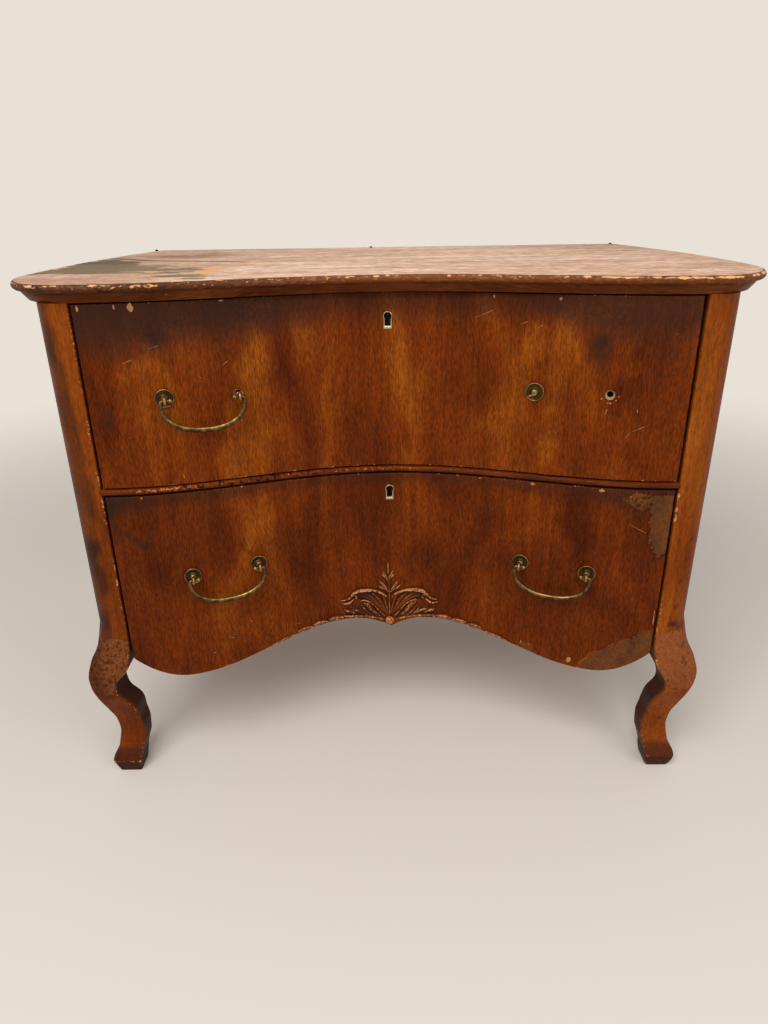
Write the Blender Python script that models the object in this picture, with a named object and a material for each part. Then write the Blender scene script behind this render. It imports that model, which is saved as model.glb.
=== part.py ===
# Serpentine-front chest of two drawers on cabriole legs. Metres, +Z up, the front faces -Y.
import math

import bmesh
import bpy

# Gap between two pieces that are fixed to each other
SEAT = 0.0003

# Drawer fronts
DRAWER_HALF_WIDTH = 0.380
SERPENTINE_DEPTH = 0.0792
FRONT_THICKNESS = 0.021
UPPER_FRONT_HEIGHT = 0.237
LOWER_FRONT_HEIGHT = 0.2565
REVEAL = 0.002
END_REVEAL = 0.0035

# Shaped apron under the lower drawer, heights measured from the top of the legs
LEG_HEIGHT = 0.211
ARCH_RISE = 0.018
ARCH_START = 0.065
PENDANT_DROP = 0.017
PENDANT_HALF_WIDTH = 0.060
LOBE_DROP = 0.0364
LOBE_PLACE = 0.300

# Posts and case
POST_WIDTH = 0.0515
POST_DEPTH = 0.070
POST_ROUND_ACROSS = 0.034
POST_ROUND_BACK = 0.050
POST_ROUND_SHARE = 0.72
POST_ARRIS = 0.0015
CASE_DEPTH = 0.500
SIDE_SPLAY = 0.038
REAR_POST = 0.038
REAR_FOOT_TAPER = 0.010
SIDE_RAIL_THICKNESS = 0.020
SIDE_RAIL_HEIGHT = 0.050
SIDE_PANEL_THICKNESS = 0.007
SIDE_PANEL_INSET = 0.006
BACK_PANEL_THICKNESS = 0.006
BACK_RAIL_THICKNESS = 0.0207

# Cabriole leg: height as a share of the leg, reach past the post outwards and inwards, back line, front line
LEG_LINES = (
    (1.24, 0.0, 0.0, 0.0700, 0.0),
    (1.08, 0.0015, 0.0, 0.0700, -0.0038),
    (0.97, 0.0100, 0.0030, 0.0600, -0.0113),
    (0.855, 0.0150, 0.0165, 0.0420, -0.0146),
    (0.78, 0.0130, 0.0215, 0.0345, -0.0139),
    (0.70, 0.0085, 0.0205, 0.0345, -0.0105),
    (0.56, -0.0005, 0.0115, 0.0420, 0.0004),
    (0.44, -0.0065, 0.0100, 0.0495, 0.0094),
    (0.34, -0.0088, 0.0060, 0.0500, 0.0113),
    (0.237, -0.0060, 0.0055, 0.0450, 0.0064),
    (0.166, -0.0005, 0.0095, 0.0415, -0.0010),
    (0.10, 0.0035, 0.0125, 0.0385, -0.0060),
    (0.0, 0.0035, 0.0125, 0.0385, -0.0060),
)

# Corners of post and leg: height as a share of the leg, outer front round across and back, arris elsewhere
LEG_ROUNDS = (
    (1.24, POST_ROUND_ACROSS, POST_ROUND_BACK, POST_ARRIS),
    (1.14, 0.0270, 0.0360, 0.0015),
    (1.05, 0.0190, 0.0220, 0.0018),
    (0.97, 0.0140, 0.0150, 0.0020),
    (0.855, 0.0110, 0.0110, 0.0020),
    (0.70, 0.0060, 0.0060, 0.0025),
    (0.50, 0.0030, 0.0030, 0.0025),
    (0.0, 0.0030, 0.0030, 0.0025),
)

# Chamfer around the bottom of the foot: its height and how far each side draws in
FOOT_CHAMFER_HEIGHT = 0.021
FOOT_CHAMFER_OUTER = 0.0085
FOOT_CHAMFER_FRONT = 0.006
FOOT_CHAMFER_INNER = 0.003

# Rails and runners
MID_RAIL_THICKNESS = 0.009
MID_RAIL_PROUD = 0.0015
RAIL_BACK = 0.135
BOTTOM_RAIL_THICKNESS = 0.0115
LOWER_RUNNER_RISE = 0.0315
RUNNER_THICKNESS = 0.018
RUNNER_WIDTH = 0.027
GUIDE_HEIGHT = 0.018
GUIDE_PLAY = 0.0015
STOP_PLAY = 0.001

# Drawer boxes
BOX_INSET = 0.008
BOX_SIDE = 0.012
BOX_BACK = 0.012
BOX_TOP_DROP = 0.0165
BOX_BACK_CLEARANCE = 0.007
BOX_PLAY = 0.0005
BOTTOM_THICKNESS = 0.006
GROOVE_DEPTH = 0.005
GROOVE_RISE = 0.007

# Top board and the moulding under it
TOP_THICKNESS = 0.010
TOP_SWELL = 0.065
FRONT_OVERHANG = 0.0165
SIDE_OVERHANG = 0.045
BACK_OVERHANG = 0.015
CORNER_ACROSS = 0.095
CORNER_BACK = 0.1215
TOP_SIDE_TAPER = 0.065
MOULDING_HEIGHT = 0.0122
MOULDING_FRONT_WIDTH = 0.060
MOULDING_SIDE_BEARING = 0.020
MOULDING_LINES = ((0.0165, 0.0), (0.0138, 0.3), (0.0108, 0.6), (0.0093, 0.85), (0.0090, 1.0))

# Locks
LOCK_HALF_WIDTH = 0.029
LOCK_HEIGHT = 0.052
LOCK_DEPTH = 0.010
BOLT_HALF_WIDTH = 0.010
BOLT_THICKNESS = 0.005
BOLT_HEIGHT = 0.016
BOLT_TRAVEL = 0.006
BOLT_END_PLAY = 0.0015
KEY_PIN_RADIUS = 0.0015
KEY_CHAMBER_DEPTH = 0.007
UPPER_KEYHOLE_DROP = 0.0356
LOWER_KEYHOLE_DROP = 0.029
ESCUTCHEON_HEIGHT = 0.023
ESCUTCHEON_ROUND = 0.0065
ESCUTCHEON_SLOT = 0.0040
ESCUTCHEON_WALL = 0.0018
ESCUTCHEON_DEPTH = 0.004
ESCUTCHEON_PROUD = 0.0006

# Pulls: two eye posts, rosettes behind them and a bail that hangs in the eyes
UPPER_PULL_RISE = 0.1155
LOWER_PULL_RISE = 0.133
PULL_HOLE_RADIUS = 0.004
PULL_RECESS_RADIUS = 0.0066
PULL_RECESS_DEPTH = 0.005
EYE_REACH = 0.0155
EYE_RADIUS = 0.0046
EYE_BAR = 0.0020
NECK_RADIUS = 0.0022
COLLAR_RADIUS = 0.0044
COLLAR_LENGTH = 0.0016
NUT_RADIUS = 0.006
NUT_LENGTH = 0.004
NUT_GAP = 0.001
NUT_TAIL = 0.002
NECK_TAPER = 0.8
NECK_FLARE = 0.0009
STUB_LENGTH = 0.0035
ROSETTE_RADIUS = 0.0125
ROSETTE_HEIGHT = 0.0036
ROSETTE_LINES = ((1.0, 0.35), (0.92, 0.70), (0.80, 0.40), (0.48, 0.40), (0.36, 0.85))
ROSETTE_BACK_GAP = 0.0004
ROSETTE_HOLE_PLAY = 0.0007
BAIL_DROP = 0.0405
BAIL_PIN_RADIUS = 0.0021
BAIL_ARM_RADIUS = 0.0026
BAIL_BELLY_HEIGHT = 0.0036
BAIL_BELLY_DEPTH = 0.0028
BAIL_ELBOW = 0.0035
BAIL_EYE_PLAY = 0.0005
BAIL_BALL_RADIUS = 0.0031
BAIL_BALL_PLACE = 0.0068
BAIL_BALL_END = math.radians(75)
BAIL_FULLNESS = 0.88

# Hand-drilled borings of each pull, inner then outer: how far out and how far above their level,
# both in shares of the drawer's half width
PULL_PLACE_SHARES = {
    "upper_left": ((0.515, 0.0026), (0.751, 0.0079)),
    "upper_right": ((0.5025, -0.0053), (0.7415, -0.0026)),
    "lower_left": ((0.502, 0.0079), (0.7365, -0.0066)),
    "lower_right": ((0.4935, -0.0026), (0.729, -0.0158)),
}

# Carving on the lower drawer: right half of the crest's outline from its bead up to its tip
CARVING_RELIEF = 0.006
CREST_HALF = (
    (0.0, 0.0003), (0.0046, 0.0016), (0.0070, 0.0052), (0.020, 0.0108), (0.040, 0.0165),
    (0.060, 0.0185), (0.072, 0.0225), (0.0665, 0.0280), (0.0500, 0.0290), (0.0560, 0.0365),
    (0.0635, 0.0375), (0.0755, 0.0400), (0.0690, 0.0460), (0.0605, 0.0520), (0.0535, 0.0600),
    (0.0425, 0.0650), (0.0270, 0.0640), (0.0150, 0.0580), (0.0070, 0.0510), (0.0035, 0.0545),
    (0.0176, 0.0695), (0.0130, 0.0715), (0.0144, 0.0775), (0.0042, 0.0740), (0.0098, 0.0895),
    (0.0062, 0.0905), (0.0070, 0.0965), (0.0026, 0.0930), (0.0012, 0.1110), (0.0, 0.1126),
)
SPRAY_START = 0.0785
SPRAY_END = 0.168
SPRAY_HEIGHT = 0.012
SPRAY_TIP_HEIGHT = 0.003
SPRAY_LEAVES = 5
SPRAY_NOTCH = 0.7
SPRAY_EDGE_GAP = 0.0005
BEND_STEP = 0.010
BEND_SNAP = 0.00001

# Facets of the curved pieces
FRONT_STATIONS = 38
STATION_MARGIN = 0.0005
TOP_FRONT_STEPS = 20
TOP_CORNER_STEPS = 9
TOP_SIDE_STEPS = 7
NOSE_STEPS = 4
MOULDING_SIDE_STEPS = 6
LEG_RINGS = 26
LEG_ROUND_STEPS = 5
LEG_ARRIS_STEPS = 2
KEYHOLE_HEAD_STEPS = 14
KEYHOLE_END_STEPS = 6
HOLE_SIDES = 12
POST_SIDES = 10
EYE_STEPS = 14
EYE_BAR_SIDES = 6
ROSETTE_SIDES = 18
BAIL_SIDES = 8
BAIL_BALL_STEPS = 4
BAIL_ELBOW_STEPS = 3
BAIL_CURVE_STEPS = 9
SHARP_EDGE = math.radians(38)

# Colour, roughness and metallic value of each finish
BLEACHED_MAHOGANY = ((0.40, 0.23, 0.15), 0.55, 0.0)
FLAME_MAHOGANY = ((0.20, 0.055, 0.016), 0.35, 0.0)
DARK_MAHOGANY = ((0.12, 0.035, 0.016), 0.42, 0.0)
SOLID_MAHOGANY = ((0.22, 0.075, 0.030), 0.45, 0.0)
CARVED_MAHOGANY = ((0.17, 0.055, 0.022), 0.40, 0.0)
PLAIN_SOFTWOOD = ((0.38, 0.23, 0.11), 0.70, 0.0)
AGED_BRASS = ((0.32, 0.22, 0.09), 0.38, 1.0)
DARK_STEEL = ((0.10, 0.09, 0.08), 0.50, 1.0)

# Places that follow from the sizes above
POST_INNER = DRAWER_HALF_WIDTH + END_REVEAL
POST_OUTER = POST_INNER + POST_WIDTH
LOWER_FRONT_TOP = LEG_HEIGHT + LOWER_FRONT_HEIGHT
MID_RAIL_BOTTOM = LOWER_FRONT_TOP + REVEAL
MID_RAIL_TOP = MID_RAIL_BOTTOM + MID_RAIL_THICKNESS
UPPER_FRONT_BOTTOM = MID_RAIL_TOP + REVEAL
UPPER_FRONT_TOP = UPPER_FRONT_BOTTOM + UPPER_FRONT_HEIGHT
MOULDING_BOTTOM = UPPER_FRONT_TOP + REVEAL
MOULDING_TOP = MOULDING_BOTTOM + MOULDING_HEIGHT
BOARD_BOTTOM = MOULDING_TOP + SEAT
POST_TOP = MOULDING_BOTTOM - SEAT
LOWER_RUNNER_TOP = LEG_HEIGHT + LOWER_RUNNER_RISE
CASE_BOTTOM = LEG_HEIGHT + SEAT
REAR_POST_FRONT = CASE_DEPTH - REAR_POST
REAR_POST_INNER = POST_OUTER - SIDE_SPLAY - REAR_POST
SIDE_START = POST_DEPTH + SEAT
SIDE_END = REAR_POST_FRONT - SEAT
BOX_HALF_WIDTH = DRAWER_HALF_WIDTH - BOX_INSET
BOX_END = REAR_POST_FRONT - BOX_BACK_CLEARANCE
TOP_BACK = CASE_DEPTH + BACK_OVERHANG
TOP_HALF_WIDTH = POST_OUTER + SIDE_OVERHANG
CORNER_CENTRE_X = TOP_HALF_WIDTH - CORNER_ACROSS
CORNER_CENTRE_Y = CORNER_BACK - FRONT_OVERHANG
PENDANT_TIP = LEG_HEIGHT + ARCH_RISE - PENDANT_DROP


def serpentine(x):
    """Distance of the drawer fronts' face behind the crest plane."""
    x = min(abs(x), DRAWER_HALF_WIDTH)
    return SERPENTINE_DEPTH * (1 + math.cos(math.pi * x / DRAWER_HALF_WIDTH)) / 2


def face_turn(x):
    """Turn about Z of a plate that lies on the serpentine face."""
    slope = -SERPENTINE_DEPTH * math.pi / (2 * DRAWER_HALF_WIDTH) * math.sin(math.pi * x / DRAWER_HALF_WIDTH)
    return math.atan(slope)


def apron(x):
    """Height of the lower drawer front's shaped edge."""
    x = abs(x)
    arch = LEG_HEIGHT + ARCH_RISE
    lobe = LEG_HEIGHT - LOBE_DROP
    if x < PENDANT_HALF_WIDTH:
        return arch - PENDANT_DROP * (1 - x / PENDANT_HALF_WIDTH) ** 2
    if x < ARCH_START:
        return arch
    if x < LOBE_PLACE:
        share = (x - ARCH_START) / (LOBE_PLACE - ARCH_START)
        return lobe + (arch - lobe) * (1 + math.cos(math.pi * share)) / 2
    share = (x - LOBE_PLACE) / (DRAWER_HALF_WIDTH - LOBE_PLACE)
    return lobe + LOBE_DROP * share ** 2


def stations(half):
    """Places along the front at which curved pieces are drawn, so that neighbours share their facets."""
    marks = [hand * x for hand in (-1, 1) for x in (PENDANT_HALF_WIDTH, ARCH_START, LOBE_PLACE)]
    places = set(steps(-DRAWER_HALF_WIDTH, DRAWER_HALF_WIDTH, FRONT_STATIONS) + marks)
    return [-half] + sorted(x for x in places if abs(x) < half - STATION_MARGIN) + [half]


def side_face(y):
    """Outer face of the case side, which splays in towards the back."""
    return POST_OUTER - SIDE_SPLAY * (y - POST_DEPTH) / (CASE_DEPTH - POST_DEPTH)


def mixed(start, end, share):
    return start + (end - start) * share


def steps(start, end, count):
    return [mixed(start, end, i / count) for i in range(count + 1)]


def skin(rings, around=False):
    """Surface through rings of equally many points: capped at both ends, or joined into a loop."""
    count = len(rings[0])
    points = [point for ring in rings for point in ring]
    faces = []
    for row in range(len(rings) if around else len(rings) - 1):
        here = row * count
        there = (row + 1) % len(rings) * count
        for i in range(count):
            j = (i + 1) % count
            faces.append((here + i, here + j, there + j, there + i))
    if not around:
        faces.append(tuple(range(count)))
        faces.append(tuple(range(len(points) - count, len(points))))
    return points, faces


def block(low, high):
    ring = [(low[0], low[1]), (high[0], low[1]), (high[0], high[1]), (low[0], high[1])]
    return skin([[(x, y, z) for x, y in ring] for z in (low[2], high[2])])


def turned(profile, sides):
    """Round solid about the Y axis through (radius, y) stations."""
    angles = steps(0, 2 * math.pi, sides)[:-1]
    return skin([[(r * math.cos(a), y, r * math.sin(a)) for a in angles] for r, y in profile])


def turned_ring(profile, sides):
    """Round ring about the Y axis with a closed (radius, y) section."""
    angles = steps(0, 2 * math.pi, sides)[:-1]
    return skin([[(r * math.cos(a), y, r * math.sin(a)) for r, y in profile] for a in angles], True)


def inset(outline, distance):
    """Closed counter-clockwise outline moved inwards along its mitred corners."""
    moved = []
    for i, (x, y) in enumerate(outline):
        before = outline[i - 1]
        after = outline[(i + 1) % len(outline)]
        first = math.atan2(y - before[1], x - before[0])
        second = math.atan2(after[1] - y, after[0] - x)
        half = math.remainder(second - first, 2 * math.pi) / 2
        length = distance / math.cos(half)
        moved.append((x - length * math.sin(first + half), y + length * math.cos(first + half)))
    return moved


def smooth_line(stations, height, column):
    """Value of a column at a height: a cubic that never swings past its stations."""
    rows = sorted(stations)
    heights = [row[0] for row in rows]
    values = [row[column] for row in rows]
    rises = [(values[i + 1] - values[i]) / (heights[i + 1] - heights[i]) for i in range(len(rows) - 1)]
    slopes = [0.0]
    for i in range(1, len(rises)):
        product = rises[i - 1] * rises[i]
        slopes.append(2 * product / (rises[i - 1] + rises[i]) if product > 0 else 0.0)
    slopes.append(0.0)
    i = max(k for k in range(len(rises)) if heights[k] <= height)
    span = heights[i + 1] - heights[i]
    t = (height - heights[i]) / span
    start = values[i] * (1 + 2 * t) * (1 - t) ** 2 + slopes[i] * span * t * (1 - t) ** 2
    return start + values[i + 1] * t * t * (3 - 2 * t) + slopes[i + 1] * span * t * t * (t - 1)


def finish_of(name, finish):
    colour, roughness, metallic = finish
    material = bpy.data.materials.new(name)
    material.use_nodes = True
    shader = material.node_tree.nodes["Principled BSDF"]
    shader.inputs["Base Color"].default_value = (*colour, 1)
    shader.inputs["Roughness"].default_value = roughness
    shader.inputs["Metallic"].default_value = metallic
    return material


def placed(name, build, parent, place, turn):
    bmesh.ops.recalc_face_normals(build, faces=build.faces)
    mesh = bpy.data.meshes.new(name)
    build.to_mesh(mesh)
    build.free()
    mesh.shade_smooth()
    mesh.set_sharp_from_angle(angle=SHARP_EDGE)
    piece = bpy.data.objects.new(name, mesh)
    piece.parent = parent
    piece.location = place
    piece.rotation_euler.z = turn
    bpy.context.scene.collection.objects.link(piece)
    return piece


def mesh_of(shape):
    points, faces = shape
    build = bmesh.new()
    corners = [build.verts.new(point) for point in points]
    for face in faces:
        build.faces.new([corners[i] for i in face])
    return build


def solid(name, shape, finish, parent, place=(0, 0, 0), turn=0.0):
    piece = placed(name, mesh_of(shape), parent, place, turn)
    piece.data.materials.append(finish_of(name, finish))
    return piece


def joined(piece, name, shape, operation, place=(0, 0, 0), turn=0.0):
    """Boolean of a piece with a helper shape that stays out of the render."""
    helper = placed(name, mesh_of(shape), piece.parent, place, turn)
    helper.hide_render = True
    helper.display_type = "WIRE"
    change = piece.modifiers.new(name, "BOOLEAN")
    change.operation = operation
    change.solver = "EXACT"
    change.object = helper


def empty(name, parent=None, place=(0, 0, 0)):
    frame = bpy.data.objects.new(name, None)
    frame.parent = parent
    frame.location = place
    bpy.context.scene.collection.objects.link(frame)
    return frame


def top_outline():
    """Right half of the top's edge from the front's middle to the back corner: front, corner, side."""
    front = []
    for x in steps(0, CORNER_CENTRE_X, TOP_FRONT_STEPS)[:-1]:
        hollow = (1 + math.cos(math.pi * min(x, DRAWER_HALF_WIDTH) / DRAWER_HALF_WIDTH)) / 2
        front.append((x, TOP_SWELL * hollow - FRONT_OVERHANG))
    corner = []
    for angle in steps(-math.pi / 2, 0, TOP_CORNER_STEPS):
        x = CORNER_CENTRE_X + CORNER_ACROSS * math.cos(angle)
        corner.append((x, CORNER_CENTRE_Y + CORNER_BACK * math.sin(angle)))
    side = []
    for share in steps(0, 1, TOP_SIDE_STEPS)[1:]:
        y = CORNER_CENTRE_Y + (TOP_BACK - CORNER_CENTRE_Y) * share
        side.append((TOP_HALF_WIDTH - TOP_SIDE_TAPER * share ** 2, y))
    return front, corner, side


def whole_outline():
    front, corner, side = top_outline()
    right = front + corner + side
    return right + [(-x, y) for x, y in reversed(right[1:])]


def top_board(parent):
    outline = whole_outline()
    nose = TOP_THICKNESS / 2
    rings = []
    for angle in steps(-math.pi / 2, math.pi / 2, NOSE_STEPS):
        z = nose + nose * math.sin(angle)
        edge = inset(outline, nose * (1 - math.cos(angle)))
        square_back = [(x, TOP_BACK if old[1] == TOP_BACK else y) for (x, y), old in zip(edge, outline)]
        rings.append([(x, y, z) for x, y in square_back])
    solid("top_board", skin(rings), BLEACHED_MAHOGANY, parent, (0, 0, BOARD_BOTTOM))


def moulding_front(parent):
    """Thumb moulding that follows the top's front edge and turns both corners."""
    front, corner, side = top_outline()
    reach = len(front) + len(corner) - 1
    edges = [(inset(whole_outline(), depth), MOULDING_HEIGHT * share) for depth, share in MOULDING_LINES]
    inner = inset(whole_outline(), MOULDING_FRONT_WIDTH)
    edges += [(inner, MOULDING_HEIGHT), (inner, 0.0)]
    sections = []
    for i in range(-reach, reach + 1):
        square_end = abs(i) == reach
        sections.append([(edge[i][0], CORNER_CENTRE_Y if square_end else edge[i][1], z) for edge, z in edges])
    piece = solid("top_moulding_front", skin(sections), DARK_MAHOGANY, parent, (0, 0, MOULDING_BOTTOM))
    joined(piece, "upper_bolt_mortise", bolt_mortise(), "DIFFERENCE", (0, bolt_place(), MOULDING_BOTTOM))


def moulding_side(parent, name, hand):
    sections = []
    for y in steps(CORNER_CENTRE_Y + SEAT, CASE_DEPTH, MOULDING_SIDE_STEPS):
        share = (y - CORNER_CENTRE_Y) / (TOP_BACK - CORNER_CENTRE_Y)
        edge = TOP_HALF_WIDTH - TOP_SIDE_TAPER * share ** 2
        section = [(hand * (edge - depth), y, MOULDING_HEIGHT * up) for depth, up in MOULDING_LINES]
        inner = hand * (side_face(y) - MOULDING_SIDE_BEARING)
        section += [(inner, y, MOULDING_HEIGHT), (inner, y, 0.0)]
        sections.append(section)
    solid(name, skin(sections), DARK_MAHOGANY, parent, (0, 0, MOULDING_BOTTOM))


def leg_section(height, hand):
    """Rounded rectangle of the post or leg at a height, from the outer front corner on."""
    share = min(height / LEG_HEIGHT, LEG_LINES[0][0])
    cut = max(1 - height / FOOT_CHAMFER_HEIGHT, 0.0)
    outer = POST_OUTER + smooth_line(LEG_LINES, share, 1) - FOOT_CHAMFER_OUTER * cut
    inner = POST_INNER + smooth_line(LEG_LINES, share, 2) + FOOT_CHAMFER_INNER * cut
    back = smooth_line(LEG_LINES, share, 3) * POST_DEPTH / LEG_LINES[0][3] - FOOT_CHAMFER_INNER * cut
    front = smooth_line(LEG_LINES, share, 4) + FOOT_CHAMFER_FRONT * cut
    across = min(smooth_line(LEG_ROUNDS, share, 1), POST_ROUND_SHARE * (outer - inner))
    along = min(smooth_line(LEG_ROUNDS, share, 2), POST_ROUND_SHARE * (back - front))
    arris = smooth_line(LEG_ROUNDS, share, 3)
    corners = (
        (outer - across, front + along, across, along, -math.pi / 2, LEG_ROUND_STEPS),
        (outer - arris, back - arris, arris, arris, 0.0, LEG_ARRIS_STEPS),
        (inner + arris, back - arris, arris, arris, math.pi / 2, LEG_ARRIS_STEPS),
        (inner + arris, front + arris, arris, arris, math.pi, LEG_ARRIS_STEPS),
    )
    ring = []
    for x, y, radius_x, radius_y, start, count in corners:
        for angle in steps(start, start + math.pi / 2, count):
            ring.append((hand * (x + radius_x * math.cos(angle)), y + radius_y * math.sin(angle), height))
    return ring


def front_post(parent, name, hand):
    knee_top = LEG_HEIGHT * LEG_LINES[0][0]
    heights = [0.0] + steps(FOOT_CHAMFER_HEIGHT, knee_top, LEG_RINGS) + [POST_TOP]
    solid(name, skin([leg_section(z, hand) for z in heights]), SOLID_MAHOGANY, parent)


def rear_post(parent, name, hand):
    rings = []
    for z, taper in ((0.0, REAR_FOOT_TAPER), (CASE_BOTTOM, 0.0), (POST_TOP, 0.0)):
        plan = (
            (REAR_POST_INNER + taper / 2, REAR_POST_FRONT + taper),
            (side_face(REAR_POST_FRONT) - taper / 2, REAR_POST_FRONT + taper),
            (side_face(CASE_DEPTH) - taper / 2, CASE_DEPTH),
            (REAR_POST_INNER + taper / 2, CASE_DEPTH),
        )
        rings.append([(hand * x, y, z) for x, y in plan])
    solid(name, skin(rings), SOLID_MAHOGANY, parent)


def side_board(parent, name, hand, inset_out, thickness, bottom, top):
    """Board of the splayed side between the posts."""
    rings = []
    for y in (SIDE_START, SIDE_END):
        outer = hand * (side_face(y) - inset_out)
        inner = hand * (side_face(y) - inset_out - thickness)
        rings.append([(outer, y, 0.0), (outer, y, top - bottom), (inner, y, top - bottom), (inner, y, 0.0)])
    solid(name, skin(rings), SOLID_MAHOGANY, parent, (0, 0, bottom))


def side_frame(parent, word, hand):
    low = CASE_BOTTOM + SIDE_RAIL_HEIGHT
    high = POST_TOP - SIDE_RAIL_HEIGHT
    side_board(parent, f"side_bottom_rail_{word}", hand, 0.0, SIDE_RAIL_THICKNESS, CASE_BOTTOM, low)
    side_board(parent, f"side_top_rail_{word}", hand, 0.0, SIDE_RAIL_THICKNESS, high, POST_TOP)
    thickness = SIDE_PANEL_THICKNESS
    side_board(parent, f"side_panel_{word}", hand, SIDE_PANEL_INSET, thickness, low + SEAT, high - SEAT)


def case_back(parent):
    half = REAR_POST_INNER - SEAT
    panel_front = CASE_DEPTH - BACK_PANEL_THICKNESS
    rail_back = panel_front - SEAT
    rail_front = rail_back - BACK_RAIL_THICKNESS
    panel = block((-half, 0, 0), (half, BACK_PANEL_THICKNESS, MOULDING_TOP - CASE_BOTTOM))
    solid("back_panel", panel, PLAIN_SOFTWOOD, parent, (0, panel_front, CASE_BOTTOM))
    rail = block((-half, 0, 0), (half, BACK_RAIL_THICKNESS, SIDE_RAIL_HEIGHT))
    solid("back_bottom_rail", rail, PLAIN_SOFTWOOD, parent, (0, rail_front, CASE_BOTTOM))
    solid("back_top_rail", rail, PLAIN_SOFTWOOD, parent, (0, rail_front, MOULDING_TOP - SIDE_RAIL_HEIGHT))


def mid_rail(parent):
    """Rail between the drawers: half-round nose along the serpentine, straight back edge."""
    half = POST_INNER - SEAT
    nose = MID_RAIL_THICKNESS / 2
    sections = []
    for x in stations(half):
        centre = serpentine(x) - MID_RAIL_PROUD + nose
        section = [(x, RAIL_BACK, 0.0)]
        for angle in steps(-math.pi / 2, math.pi / 2, NOSE_STEPS):
            section.append((x, centre - nose * math.cos(angle), nose + nose * math.sin(angle)))
        section.append((x, RAIL_BACK, MID_RAIL_THICKNESS))
        sections.append(section)
    piece = solid("mid_rail", skin(sections), SOLID_MAHOGANY, parent, (0, 0, MID_RAIL_BOTTOM))
    joined(piece, "lower_bolt_mortise", bolt_mortise(), "DIFFERENCE", (0, bolt_place(), MID_RAIL_BOTTOM))


def front_bottom_rail(parent):
    half = POST_INNER - SEAT
    sections = []
    for x in stations(half):
        front = serpentine(x) + FRONT_THICKNESS + STOP_PLAY
        sections.append([
            (x, front, 0.0),
            (x, front, BOTTOM_RAIL_THICKNESS),
            (x, RAIL_BACK, BOTTOM_RAIL_THICKNESS),
            (x, RAIL_BACK, 0.0),
        ])
    bottom = LOWER_RUNNER_TOP - BOTTOM_RAIL_THICKNESS
    solid("front_bottom_rail", skin(sections), PLAIN_SOFTWOOD, parent, (0, 0, bottom))


def runner(parent, name, hand, top, side_inset):
    """Runner with its guide, let in between the front rail and the rear post, against the case side."""
    inner = BOX_HALF_WIDTH - RUNNER_WIDTH
    guide = BOX_HALF_WIDTH + GUIDE_PLAY
    rings = []
    for y in (RAIL_BACK + SEAT, SIDE_END):
        outer = side_face(y) - side_inset - SEAT
        section = (
            (inner, -RUNNER_THICKNESS),
            (outer, -RUNNER_THICKNESS),
            (outer, GUIDE_HEIGHT),
            (guide, GUIDE_HEIGHT),
            (guide, 0.0),
            (inner, 0.0),
        )
        rings.append([(hand * x, y, z) for x, z in section])
    solid(name, skin(rings), PLAIN_SOFTWOOD, parent, (0, 0, top))


def bolt_place():
    """Middle of the bolt's thickness, behind the drawer front's face."""
    return serpentine(LOCK_HALF_WIDTH) + FRONT_THICKNESS - LOCK_DEPTH / 2


def bolt_mortise():
    half = BOLT_HALF_WIDTH + SEAT
    thick = BOLT_THICKNESS / 2 + SEAT
    depth = BOLT_TRAVEL - REVEAL + BOLT_END_PLAY
    return block((-half, -thick, -depth), (half, thick, depth))


def keyhole(grow):
    """Keyhole outline about the middle of its round: a round head over a straight slot with a round end."""
    head = ESCUTCHEON_ROUND + grow
    slot = ESCUTCHEON_SLOT + grow
    drop = ESCUTCHEON_HEIGHT - ESCUTCHEON_ROUND - ESCUTCHEON_SLOT
    open_angle = math.acos(slot / head)
    round_angles = steps(-open_angle, math.pi + open_angle, KEYHOLE_HEAD_STEPS)
    end_angles = steps(math.pi, 2 * math.pi, KEYHOLE_END_STEPS)
    outline = [(head * math.cos(a), head * math.sin(a)) for a in round_angles]
    return outline + [(slot * math.cos(a), slot * math.sin(a) - drop) for a in end_angles]


def keyhole_prism(grow, front, back):
    return skin([[(x, y, z) for x, z in keyhole(grow)] for y in (front, back)])


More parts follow.
